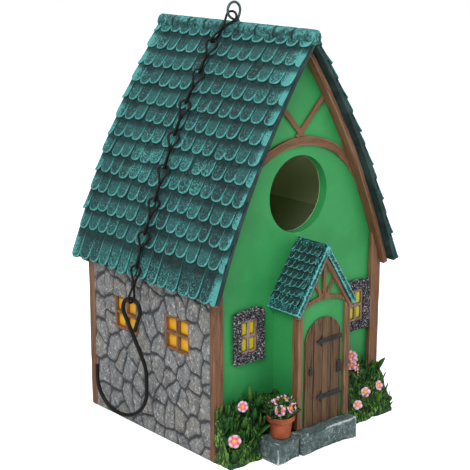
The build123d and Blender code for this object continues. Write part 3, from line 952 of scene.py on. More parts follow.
# --- geometry node trees --------------------------------------------------------------------------
class NodeTree(Sums):
    """A geometry node group with named inputs, and short calls for its nodes."""

    def __init__(self, name: str) -> None:
        """Start a group that takes and gives geometry.

        Args:
            name: the group's name.
        """
        self.tree = bpy.data.node_groups.new(name, "GeometryNodeTree")
        for side in ("INPUT", "OUTPUT"):
            self.tree.interface.new_socket("Geometry", in_out=side, socket_type="NodeSocketGeometry")
        self.entry = self.tree.nodes.new("NodeGroupInput")
        self.exit = self.tree.nodes.new("NodeGroupOutput")
        self.keys: dict[str, str] = {}

    def named(self, name: str, kind: str = "Float") -> NodeSocket:
        """Add a named input.

        Args:
            name: the input's name.
            kind: Float, Int, Object or Material.

        Returns:
            The socket inside the group.
        """
        socket = self.tree.interface.new_socket(name, in_out="INPUT", socket_type=f"NodeSocket{kind}")
        self.keys[name] = socket.identifier
        return self.entry.outputs[name]

    def node(self, kind: str, inputs: dict[object, object] | None = None,
             **settings: object) -> bpy.types.Node:
        """Add a node.

        Args:
            kind: its Blender type.
            inputs: sockets or constants, by input name or number.
            settings: its properties.

        Returns:
            The node.
        """
        node = self.tree.nodes.new(kind)
        for key, value in settings.items():
            setattr(node, key, value)
        for key, value in (inputs or {}).items():
            if isinstance(value, NodeSocket):
                self.tree.links.new(value, node.inputs[key])
            else:
                node.inputs[key].default_value = value
        return node

    def math(self, operation: str, first: object, second: object = 0.0) -> NodeSocket:
        """Combine two values and give the result."""
        return self.node("ShaderNodeMath", {0: first, 1: second}, operation=operation).outputs[0]

    def chance(self, low: object, high: object, seed: object, salt: int) -> NodeSocket:
        """A random number for each element.

        Args:
            low: smallest value.
            high: largest value.
            seed: the group's seed input.
            salt: tells this number from the others.

        Returns:
            The value's socket.
        """
        mixed = self.plus(seed, float(salt))
        node = self.node("FunctionNodeRandomValue", data_type="FLOAT")
        floats = [socket for socket in node.inputs if socket.type == "VALUE" and socket.enabled]
        for socket, value in zip(floats[:2], (low, high)):
            if isinstance(value, NodeSocket):
                self.tree.links.new(value, socket)
            else:
                socket.default_value = value
        self.tree.links.new(mixed, node.inputs["Seed"])
        return next(socket for socket in node.outputs if socket.enabled)

    def chances(self, low: object, high: object, seed: object, *salts: int) -> NodeSocket:
        """A vector of three random numbers, one for each salt."""
        return self.vector(*(self.chance(low, high, seed, salt) for salt in salts))

    def shape_of(self, thing: NodeSocket) -> NodeSocket:
        """The geometry of an object input."""
        return self.node("GeometryNodeObjectInfo", {"Object": thing}).outputs["Geometry"]

    def stored(self, geometry: NodeSocket, name: str, value: NodeSocket,
               domain: str = "INSTANCE") -> NodeSocket:
        """Store a number on the geometry.

        Args:
            geometry: what it is stored on.
            name: the attribute's name.
            value: the number.
            domain: INSTANCE or POINT.

        Returns:
            The geometry with it.
        """
        store = self.node("GeometryNodeStoreNamedAttribute", {"Geometry": geometry, "Name": name},
                          data_type="FLOAT", domain=domain)
        self.tree.links.new(value, store.inputs["Value"])
        return store.outputs[0]

    def vector(self, x: object, y: object, z: object) -> NodeSocket:
        """Three values as one vector."""
        return self.node("ShaderNodeCombineXYZ", {0: x, 1: y, 2: z}).outputs[0]

    def close(self, geometry: NodeSocket, material: NodeSocket) -> bpy.types.NodeTree:
        """End the group in Realize Instances and Set Material.

        Args:
            geometry: what the group has made.
            material: its material input.

        Returns:
            The finished group.
        """
        real = self.node("GeometryNodeRealizeInstances", {"Geometry": geometry})
        done = self.node("GeometryNodeSetMaterial", {"Geometry": real.outputs[0], "Material": material})
        self.tree.links.new(done.outputs[0], self.exit.inputs[0])
        return self.tree


def grow(piece: Object, graph: NodeTree, **values: object) -> Object:
    """Run a node group on a piece and keep the plain mesh.

    Args:
        piece: the object that it starts from.
        graph: the group.
        values: the group's named inputs, with _ for a space.

    Returns:
        The same object.
    """
    modifier = piece.modifiers.new(graph.tree.name, "NODES")
    modifier.node_group = graph.tree
    for name, value in values.items():
        modifier[graph.keys[name.replace("_", " ")]] = value
    return settle(piece)


@cache
def tile_tree() -> NodeTree:
    """Rows of shingles on a flat field: X across, Y down the slope, Z proud of it."""
    graph = NodeTree("Shingle field")
    tile, material = graph.named("Tile", "Object"), graph.named("Finish", "Material")
    columns, courses = graph.named("Columns", "Int"), graph.named("Courses", "Int")
    width, exposure = graph.named("Width"), graph.named("Exposure")
    first, shift = graph.named("First run"), graph.named("First shift")
    wander, seed = graph.named("Wander"), graph.named("Seed", "Int")
    spread_x, spread_y = graph.math("SUBTRACT", columns, 1.0), graph.math("SUBTRACT", courses, 1.0)
    grid = graph.node("GeometryNodeMeshGrid", {"Size X": spread_x, "Size Y": spread_y, "Vertices X": columns,
                                               "Vertices Y": courses})
    where = graph.node("GeometryNodeInputPosition").outputs[0]
    parts = graph.node("ShaderNodeSeparateXYZ", {0: where}).outputs
    course = graph.math("ROUND", graph.plus(parts[1], graph.times(spread_y, 0.5)))
    half = graph.times(graph.math("PINGPONG", graph.plus(course, shift), 1.0), 0.5)
    across = graph.plus(graph.plus(parts[0], graph.math("SUBTRACT", half, 0.25)),
                        graph.chance(-0.07, 0.07, seed, 1))
    down = graph.plus(course, graph.chance(-0.06, 0.06, seed, 2))
    place = graph.vector(graph.times(across, width),
                         graph.plus(graph.times(down, exposure), first),
                         graph.times(graph.chance(-1.0, 0.4, seed, 3), wander))
    laid = graph.node("GeometryNodeSetPosition", {"Geometry": grid.outputs[0], "Position": place})
    turn = graph.vector(graph.chance(-0.02, 0.03, seed, 4), graph.chance(-0.04, 0.04, seed, 5),
                        graph.chance(-0.06, 0.06, seed, 6))
    size = graph.vector(graph.chance(0.90, 1.02, seed, 7), graph.chance(0.95, 1.05, seed, 8), 1.0)
    rows = graph.node("GeometryNodeInstanceOnPoints", {"Points": laid.outputs[0],
                                                       "Instance": graph.shape_of(tile),
                                                       "Rotation": turn, "Scale": size})
    graph.close(graph.stored(rows.outputs[0], "tone", graph.chance(0.0, 1.0, seed, 9)), material)
    return graph


@cache
def fieldstone_tree() -> NodeTree:
    """A flat skin of irregular stones: X and Y in its plane, Z proud of it."""
    graph = NodeTree("Fieldstone skin")
    material = graph.named("Finish", "Material")
    width, height = graph.named("Width"), graph.named("Height")
    across, up = graph.named("Across", "Int"), graph.named("Up", "Int")
    stone, joint = graph.named("Stone"), graph.named("Joint")
    relief, seed = graph.named("Relief"), graph.named("Seed", "Int")
    grid = graph.node("GeometryNodeMeshGrid", {"Size X": width, "Size Y": height, "Vertices X": across,
                                               "Vertices Y": up})
    where = graph.node("GeometryNodeInputPosition").outputs[0]
    parts = graph.node("ShaderNodeSeparateXYZ", {0: where}).outputs
    flat = graph.vector(graph.math("DIVIDE", graph.times(parts[0], 1.12), stone),
                        graph.math("DIVIDE", graph.times(parts[1], 0.90), stone), seed)
    waver = graph.node("ShaderNodeTexNoise", {"Vector": flat, "Scale": 1.6, "Detail": 2.0})
    pull = graph.node("ShaderNodeVectorMath", {0: waver.outputs["Color"], 1: (0.42, 0.42, 0.0)},
                      operation="MULTIPLY")
    spot = graph.node("ShaderNodeVectorMath", {0: flat, 1: pull.outputs[0]}, operation="ADD").outputs[0]
    cells = {"Vector": spot, "Scale": 1.0, "Randomness": 0.86}
    edge = graph.node("ShaderNodeTexVoronoi", cells, voronoi_dimensions="2D", feature="DISTANCE_TO_EDGE")
    cell = graph.node("ShaderNodeTexVoronoi", cells, voronoi_dimensions="2D", feature="F1")
    mass = graph.node("ShaderNodeMapRange", {"Value": edge.outputs["Distance"], "From Min": 0.015,
                                             "From Max": joint}, interpolation_type="SMOOTHSTEP")
    tone = graph.node("ShaderNodeSeparateXYZ", {0: cell.outputs["Color"]}).outputs[0]
    rough = graph.node("ShaderNodeTexNoise", {"Vector": flat, "Scale": 4.5, "Detail": 4.0, "Roughness": 0.65})
    lump = graph.times(graph.math("SUBTRACT", rough.outputs[0], 0.5), 0.85)
    tall = graph.plus(graph.plus(graph.times(tone, 0.30), 0.60), lump)
    lift = graph.times(graph.times(tall, mass.outputs["Result"]), relief)
    raised = graph.node("GeometryNodeSetPosition", {"Geometry": grid.outputs[0],
                                                    "Offset": graph.vector(0.0, 0.0, lift)})
    shape = raised.outputs[0]
    for name, value in (("mass", mass.outputs["Result"]), ("tone", tone)):
        shape = graph.stored(shape, name, value, "POINT")
    graph.close(shape, material)
    return graph


@cache
def bead_tree() -> NodeTree:
    """Stones strung along a path of edges."""
    graph = NodeTree("Stones on a path")
    material, stone = graph.named("Finish", "Material"), graph.named("Stone", "Object")
    gap, small = graph.named("Spacing"), graph.named("Smallest")
    large, seed = graph.named("Largest"), graph.named("Seed", "Int")
    curve = graph.node("GeometryNodeMeshToCurve", {"Mesh": graph.entry.outputs["Geometry"]})
    points = graph.node("GeometryNodeCurveToPoints", {"Curve": curve.outputs[0], "Length": gap},
                        mode="LENGTH")
    laid = graph.node("GeometryNodeInstanceOnPoints", {
        "Points": points.outputs[0], "Instance": graph.shape_of(stone),
        "Rotation": graph.chances(0.0, 6.3, seed, 1, 2, 3),
        "Scale": graph.chances(small, large, seed, 4, 5, 6)})
    graph.close(laid.outputs[0], material)
    return graph


@cache
def wire_tree() -> NodeTree:
    """Round wire along a path of edges."""
    graph = NodeTree("Wire")
    material, radius = graph.named("Finish", "Material"), graph.named("Radius")
    sides = graph.named("Sides", "Int")
    curve = graph.node("GeometryNodeMeshToCurve", {"Mesh": graph.entry.outputs["Geometry"]})
    ring = graph.node("GeometryNodeCurvePrimitiveCircle", {"Resolution": sides, "Radius": radius})
    tube = graph.node("GeometryNodeCurveToMesh", {"Curve": curve.outputs[0], "Profile Curve": ring.outputs[0],
                                                  "Fill Caps": True})
    even = graph.node("GeometryNodeSetShadeSmooth", {"Geometry": tube.outputs[0]})
    graph.close(even.outputs[0], material)
    return graph


@cache
def planting_tree() -> NodeTree:
    """Leaves or blades set over a bed, leaning out of it."""
    graph = NodeTree("Planting")
    material, leaf = graph.named("Finish", "Material"), graph.named("Leaf", "Object")
    density, upright = graph.named("Density"), graph.named("Upright")
    small, large = graph.named("Smallest"), graph.named("Largest")
    seed = graph.named("Seed", "Int")
    spread = graph.node("GeometryNodeDistributePointsOnFaces", {"Mesh": graph.entry.outputs["Geometry"],
                                                                "Seed": seed}, distribute_method="RANDOM")
    graph.tree.links.new(density, spread.inputs["Density"])
    normal = spread.outputs["Normal"]
    lean = graph.vector(graph.chance(-0.45, 0.45, seed, 1), graph.chance(-0.45, 0.45, seed, 2), upright)
    aim = graph.node("ShaderNodeVectorMath", {0: normal, 1: lean}, operation="ADD").outputs[0]
    turned = graph.node("FunctionNodeAlignRotationToVector", {"Vector": aim}, axis="Z")
    size = graph.chance(small, large, seed, 3)
    laid = graph.node("GeometryNodeInstanceOnPoints", {"Points": spread.outputs["Points"],
                                                       "Rotation": turned.outputs[0],
                                                       "Instance": graph.shape_of(leaf), "Scale": size})
    spin = graph.vector(0.0, 0.0, graph.chance(0.0, 6.3, seed, 4))
    spun = graph.node("GeometryNodeRotateInstances", {"Instances": laid.outputs[0], "Rotation": spin})
    graph.close(graph.stored(spun.outputs[0], "tone", graph.chance(0.0, 1.0, seed, 5)), material)
    return graph


# --- roof -----------------------------------------------------------------------------------------
@dataclass
class RoofLine:
    """The bowed slope: an arc from the ridge down to the eave."""

    eave_x: float = 62.8
    eave_z: float = 82.3
    ridge_z: float = 202.7
    bow: float = 5.5
    half_depth: float = 57.8
    radius: float = field(init=False)
    centre_x: float = field(init=False)
    centre_z: float = field(init=False)
    ridge_angle: float = field(init=False)
    length: float = field(init=False)

    def __post_init__(self) -> None:
        """Work out the arc from its ends and its bow."""
        rise = self.ridge_z - self.eave_z
        chord = math.hypot(self.eave_x, rise)
        self.radius = (chord ** 2 / 4 + self.bow ** 2) / (2 * self.bow)
        inset = self.radius - self.bow
        self.centre_x = self.eave_x / 2 - inset * rise / chord
        self.centre_z = (self.ridge_z + self.eave_z) / 2 - inset * self.eave_x / chord
        self.ridge_angle = math.atan2(self.ridge_z - self.centre_z, -self.centre_x)
        eave_angle = math.atan2(self.eave_z - self.centre_z, self.eave_x - self.centre_x)
        self.length = self.radius * (self.ridge_angle - eave_angle)

    def laid(self, flat: Points, side: int) -> Points:
        """Bend flat places onto a slope.

        Args:
            flat: rows of across, down the slope and proud of it.
            side: 1 for the right slope, -1 for the left.

        Returns:
            Places in the house's frame.
        """
        angle = self.ridge_angle - flat[:, 1] / self.radius
        reach = self.radius + flat[:, 2]
        x = self.centre_x + reach * np.cos(angle)
        z = self.centre_z + reach * np.sin(angle)
        return np.stack([side * np.maximum(x, 0.0), flat[:, 0], z], axis=1)

    def run_of(self, points: Points) -> Points:
        """How far down the slope each place lies."""
        angle = np.arctan2(points[:, 2] - self.centre_z, np.abs(points[:, 0]) - self.centre_x)
        return (self.ridge_angle - angle) * self.radius

    def grain(self, points: Points) -> Points:
        """Grain of a bargeboard: off the arc, deep, down the slope."""
        reach = np.hypot(points[:, 2] - self.centre_z, np.abs(points[:, 0]) - self.centre_x)
        return np.stack([reach, points[:, 1], self.run_of(points)], axis=1)


@dataclass
class Shingle:
    """One round-ended shingle: rings of points from its underside up over the rim and in."""

    width: float = 7.6
    length: float = 14.0
    thickness: float = 1.25
    tilt: float = 0.105
    dish: float = 0.30
    square: float = 2.4
    side_fade: float = 0.55
    shown: float = 10.1
    points: int = 18

    def outline(self, inset: float) -> list[tuple[float, float]]:
        """Points round the shingle, drawn in by a distance.

        Args:
            inset: how far inside the edge.

        Returns:
            Places across and along, with the lower end at 0.
        """
        half = self.width / 2 - inset
        straight = self.length - self.width / 2
        ring = []
        arc = self.points - 6
        for step in range(arc + 1):
            angle = math.pi * step / arc
            pull = abs(math.cos(angle)) ** (2 / self.square) * math.copysign(1.0, math.cos(angle))
            drop = math.sin(angle) ** (2 / self.square)
            ring.append((half * pull, -self.width / 2 + (self.width / 2 - inset) * drop))
        for share in (0.35, 0.7):
            ring.append((-half, -self.width / 2 - share * straight))
        ring.append((-half, inset - self.length))
        ring.append((half, inset - self.length))
        for share in (0.7, 0.35):
            ring.append((half, -self.width / 2 - share * straight))
        return ring

    def build(self, name: str) -> Object:
        """Make the shingle.

        Args:
            name: its object's name.

        Returns:
            The object, lying flat with its lower end at the origin.
        """
        rings = [(0.0, -self.thickness, 1.5), (0.0, -0.30, 1.12), (0.05, 0.0, 0.97), (0.12, -0.02, 0.58),
                 (0.25, -self.dish, 0.2)]
        points, rim, tuck = [], [], []
        for inset, lift, paint in rings:
            for x, y in self.outline(inset * self.width):
                points.append((x, y, lift + y * self.tilt))
                # How far up its shown length each point lies; the glaze paints shadow where the row above
                # covers it.
                tuck.append(-y / self.shown)
                fade = min(max(abs(y) / self.width - 0.35, 0.0) / 0.5, 1.0)
                rim.append(paint if paint > 1.0 else paint * (1.0 - self.side_fade * fade))
        faces = skin(len(rings), len(points) // len(rings))
        piece = mesh_piece(name, points, faces, Paint.SHINGLE.value, {"rim": rim, "tuck": tuck})
        outwards(piece)
        smooth(piece)
        return piece


@dataclass
class Field:
    """A block of courses laid at one spacing."""

    columns: int
    courses: int
    exposure: float
    first_run: float
    shift: float
    shingle: Shingle
    seed: int
    wander: float = 0.28
    spread: float = 1.055


def shingled(name: str, fields: Sequence[Field], paint: Finish) -> Object:
    """Lay fields of shingles flat and join them.

    Args:
        name: the piece's name.
        fields: the blocks of courses.
        paint: the finish.

    Returns:
        The flat piece, in millimetre places.
    """
    pieces = []
    for block in fields:
        tile = block.shingle.build(name + "_tile")
        base = mesh_piece(name + "_field", [(0, 0, 0)], [])
        grow(base, tile_tree(), Tile=tile, Finish=paint.material(), Columns=block.columns,
             Courses=block.courses,
             Width=block.shingle.width * block.spread * MM, Exposure=block.exposure * MM,
             First_run=block.first_run * MM, First_shift=block.shift, Wander=block.wander * MM,
             Seed=block.seed)
        bpy.data.objects.remove(tile)
        pieces.append(base)
    return joined(name, pieces)


@dataclass
class Roof:
    """Two slopes of round-ended shingles, their bed, and the segmented ridge roll."""

    line: RoofLine
    exposure: float = 10.1
    eave_course: float = 15.2
    top_run: float = 0.5
    columns: int = 18
    courses: int = 12
    bed_top: float = -1.62
    bed_bottom: float = -1.8
    barrels: int = 9
    roll_radius: float = 3.9

    def slope(self, side: int) -> None:
        """Build one slope.

        Args:
            side: 1 for the right slope, -1 for the left.
        """
        label = SIDES[side]
        long_tile = Shingle(length=19.0, tilt=0.07, shown=self.eave_course)
        fields = [Field(self.columns, self.courses, self.exposure, self.exposure, 0.0, Shingle(), 11 + side),
                  Field(self.columns, 1, self.exposure, self.line.length + 0.6, 1.0, long_tile, 23 + side, 0.2)]
        piece = shingled(f"shingles_{label}", fields, Paint.SHINGLE.value)
        half = self.line.half_depth
        self._trim(piece, half)
        flat = coordinates(piece)
        worn = np.clip(1.0 - (half - np.abs(flat[:, 0])) / 6.0, 0.0, 1.0) * 0.9
        worn += np.clip((flat[:, 1] - self.line.length + 20.0) / 22.0, 0.0, 1.0) * 0.25
        worn += 0.35 * lattice_noise(flat / np.array([26.0, 26.0, 9.0]), 4 + side)
        write_attribute(piece, "worn", np.clip(worn, 0.0, 1.2))
        move_points(piece, self.line.laid(flat, side))
        outwards_if_mirrored(piece, side)
        whole = joined(f"roof_tiles_{label}_looks", [piece, self._bed(side)])
        smooth(whole, 50.0)
        keep(whole, HOUSE, [f"roof_tiles_{label}"])

    def _trim(self, piece: Object, half: float) -> None:
        """Cut the flat field off square at both rakes and under the ridge, and close the cuts."""
        work = bmesh.new()
        work.from_mesh(piece.data)
        for place, away in (((-half, 0, 0), (-1, 0, 0)), ((half, 0, 0), (1, 0, 0)),
                            ((0, self.top_run, 0), (0, -1, 0))):
            cut = bmesh.ops.bisect_plane(work, geom=work.verts[:] + work.edges[:] + work.faces[:],
                                         plane_co=Vector(place) * MM, plane_no=away, clear_outer=True)
            rims = [item for item in cut["geom_cut"] if isinstance(item, bmesh.types.BMEdge)]
            bmesh.ops.holes_fill(work, edges=rims, sides=0)
        work.to_mesh(piece.data)
        work.free()

    def _bed(self, side: int) -> Object:
        """The dark layer that the shingles lie on."""
        steps = 60
        half = self.line.half_depth - 0.05
        flat = []
        for step in range(steps + 1):
            run = self.top_run + (self.line.length - self.top_run) * step / steps
            flat += [(-half, run, self.bed_top), (half, run, self.bed_top), (half, run, self.bed_bottom),
                     (-half, run, self.bed_bottom)]
        places = self.line.laid(np.array(flat, float), side)
        plain = np.zeros(len(flat))
        bed = mesh_piece("bed", places, skin(steps + 1, 4), Paint.SHINGLE.value,
                         {"rim": plain + 2.0, "tone": plain, "worn": plain, "tuck": plain})
        outwards(bed)
        return bed

    def build(self) -> None:
        """Build both slopes and the ridge."""
        for side in SIDES:
            self.slope(side)
        dress(["roof_panel_left", "roof_panel_right"], Paint.PANEL.value)
        self.ridge()

    def ridge(self) -> None:
        """Build the ridge roll: one round bar pinched into barrels."""
        half, around, step = self.line.half_depth, 40, 0.5
        rows = int(2 * half / step)
        barrel = 2 * half / self.barrels
        points, wear, faces = [], [], []
        for row in range(rows + 1):
            y = -half + 2 * half * row / rows
            near = abs((y + half + barrel / 2) % barrel - barrel / 2)
            pinch = math.exp(-(near / 0.42) ** 2) if 1.0 < y + half < 2 * half - 1.0 else 0.0
            cap = 0.35 if row in (0, rows) else 0.0
            for spoke in range(around):
                angle = 2 * math.pi * spoke / around
                crown = -0.04 * math.cos(math.pi * near / barrel)
                radius = self.roll_radius - cap - 0.80 * pinch + crown - 0.1
                points.append((radius * math.cos(angle), y, self.line.ridge_z - self.roll_radius
                               + radius * math.sin(angle)))
                wear.append(0.15 - 2.6 * pinch + 0.25 * abs(math.sin(angle)))
        for row in range(rows):
            for spoke in range(around):
                here, after = row * around + spoke, row * around + (spoke + 1) % around
                faces.append((here, after, after + around, here + around))
        faces += [tuple(range(around)), tuple(rows * around + spoke for spoke in reversed(range(around)))]
        places = np.array(points)
        places += 0.09 * np.stack([lattice_noise(places / 2.4, salt) for salt in (1, 2, 3)], axis=1)
        places[:, 1] = np.clip(places[:, 1], -half, half)
        wear = np.array(wear) + 0.25 * lattice_noise(places / 1.2, 8)
        roll = mesh_piece("ridge_roll", places, faces, Paint.RIDGE.value, {"wear": wear})
        outwards(roll)
        smooth(roll)
        keep(roll, HOUSE, ["ridge_cap"])


def outwards_if_mirrored(piece: Object, side: int) -> None:
    """Turn faces round where the piece was laid on the side that mirrors it."""
    if side > 0:
        piece.data.flip_normals()


# --- walls ----------------------------------------------------------------------------------------
@dataclass
class Opening:
    """A window opening in a stone wall."""

    middle: float
    height: float
    width: float
    tall: float


@dataclass
class Walls:
    """Plastered gables, the two fieldstone walls, the floor and its plug."""

    wall_x: float = 56.0
    front: float = -47.5
    back: float = 45.5
    top: float = 90.0
    stone: float = 10.6
    joint: float = 0.14
    relief: float = 1.7
    spacing: float = 0.44
    openings: tuple[Opening, ...] = (Opening(-23.3, 57.6, 19.0, 17.6), Opening(18.0, 57.6, 19.0, 17.6))

    def stones(self, side: int) -> None:
        """Build one stone wall's skin.

        Args:
            side: 1 for the right wall, -1 for the left.
        """
        label = SIDES[side]
        width, height = self.back - self.front, self.top
        piece = mesh_piece(f"fieldstones_{label}", [(0, 0, 0)], [])
        grow(piece, fieldstone_tree(), Finish=Paint.STONE.value.material(), Width=width * MM,
             Height=height * MM,
             Across=int(width / self.spacing), Up=int(height / self.spacing), Stone=self.stone * MM,
             Joint=self.joint, Relief=self.relief * MM, Seed=31 + side)
        flat = coordinates(piece)
        y = flat[:, 0] + (self.front + self.back) / 2
        z = flat[:, 1] + self.top / 2
        rim = np.minimum.reduce([y - self.front, self.back - y, z, np.full(len(y), 9.0)])
        lift = np.where(rim < 0.25, -0.35, flat[:, 2] * np.clip(rim / 1.4, 0.25, 1.0))
        for hole in self.openings:
            inside = np.maximum(np.abs(y - hole.middle) - hole.width / 2,
                                np.abs(z - hole.height) - hole.tall / 2)
            lift = np.where(inside < -0.2, -1.8, lift)
        move_points(piece, np.stack([side * (self.wall_x + 0.03 + lift), y, z], axis=1))
        if side < 0:
            piece.data.flip_normals()
        smooth(piece)
        keep(piece)

    def build(self) -> None:
        """Build the walls."""
        for side in SIDES:
            self.stones(side)
        dress(["left_wall", "right_wall"], Paint.STONE.value)
        dress(["front_wall", "back_wall", "porch_front_wall", "porch_side_left", "porch_side_right"],
              Paint.PLASTER.value)
        dress(["floor_panel"], Paint.BASE.value)
        dress(["clean_out_plug"], Paint.PLUG.value)


# --- timber ---------------------------------------------------------------------------------------
@dataclass
class Timberwork:
    """Posts, bargeboards, the gable's arch and brace, and the porch's timbers."""

    line: RoofLine
    arch_centre_z: float = 103.2
    porch_slope: tuple[float, float] = (20.5, -31.5)

    def build(self) -> None:
        """Cast every timber with its own grain."""
        posts = [f"corner_post_{face}_{side}" for face in ("front", "back") for side in ("left", "right")]
        boards = [f"bargeboard_{face}_{side}" for face in ("front", "back") for side in ("left", "right")]
        jobs: list[tuple[str, GrainMap, float]] = [(node, upright_grain, 0.45) for node in posts]
        jobs += [(node, self.line.grain, 0.45) for node in boards]
        jobs += [("gable_arch", ring_grain(0.0, self.arch_centre_z), 0.32)]
        jobs += [("gable_brace", slope_grain(17.7, 18.7), 0.32)]
        jobs += [("porch_rafters", slope_grain(*self.porch_slope), 0.32), ("porch_truss", upright_grain, 0.28)]
        jobs += [(f"porch_post_{side}", upright_grain, 0.34) for side in ("left", "right")]
        for seed, (node, grain, voxel) in enumerate(jobs):
            Casting([node], Paint.TIMBER.value, "timber", voxel=voxel, rounding=3, wobble=0.22,
                    wobble_size=11.0, grain=grain, grain_depth=0.20, seed=seed + 2).place(node + "_carved")


# --- porch ----------------------------------------------------------------------------------------
@dataclass
class Porch:
    """The porch roof with its small shingles, and the plank door with its ironwork."""

    apex_z: float = 102.0
    eave_x: float = 20.5
    eave_z: float = 70.5
    front: float = -68.9
    back: float = -47.5
    rake: float = 2.2
    columns: int = 7
    rows: int = 7
    exposure: float = 4.35
    first_run: float = 7.2

    def laid(self, flat: Points, side: int) -> Points:
        """Put flat places onto a slope of the porch.

        Args:
            flat: rows of across, down the slope and proud of it.
            side: 1 for the right slope, -1 for the left.

        Returns:
            Places in the house's frame.
        """
        rise = self.apex_z - self.eave_z
        length = math.hypot(self.eave_x, rise)
        x = flat[:, 1] * self.eave_x / length + flat[:, 2] * rise / length
        z = self.apex_z - flat[:, 1] * rise / length + flat[:, 2] * self.eave_x / length
        return np.stack([side * np.maximum(x, 0.05), flat[:, 0], z], axis=1)

    def slope(self, side: int) -> None:
        """Build one slope of the porch roof.

        Args:
            side: 1 for the right slope, -1 for the left.
        """
        label = SIDES[side]
        tile = Shingle(width=3.35, length=6.2, thickness=1.0, tilt=0.14, dish=0.10, square=2.1,
                       side_fade=0.62, shown=self.exposure, points=16)
        fields = [Field(self.columns, self.rows, self.exposure, self.first_run, 0.0, tile, 51 + side, 0.1)]
        piece = shingled(f"porch_shingles_{label}", fields, Paint.PORCH_SHINGLE.value)
        flat = coordinates(piece)
        middle = (self.front + self.rake + self.back) / 2
        low, high = self.front + self.rake, self.back + 0.3
        flat[:, 0] = np.clip(flat[:, 0] + middle, low, high)
        flat[:, 2] += 0.75
        worn = np.clip(1.0 - (flat[:, 0] - low) / 3.0, 0.0, 1.0) * 0.5
        write_attribute(piece, "worn", worn)
        move_points(piece, self.laid(flat, side))
        outwards_if_mirrored(piece, side)
        smooth(piece)
        keep(piece)
        Casting([f"porch_roof_{label}"], Paint.PORCH_EDGE.value, "roof_tile", voxel=0.36, rounding=2,
                wobble=0.15, wobble_size=5.0, relief=0.14, relief_size=1.0).place(f"porch_roof_{label}_cast")

    def build(self) -> None:
        """Build the porch roof, the door and its ironwork."""
        for side in SIDES:
            self.slope(side)
        Casting(["door_planks"], Paint.DOOR.value, "door_paint", voxel=0.2, rounding=1, wobble=0.05,
                grain=upright_grain, grain_depth=0.12).place("door_carved")
        for node, name, wobble, seed in (("strap_hinge_upper", "strap_upper", 0.08, 1),
                                         ("strap_hinge_lower", "strap_lower", 0.08, 4),
                                         ("door_plates", "door_plates", 0.06, 6)):
            Casting([node], Paint.IRON.value, "iron_paint", voxel=0.16, rounding=2, wobble=wobble,
                    wobble_size=2.0, seed=seed).place(name + "_forged")


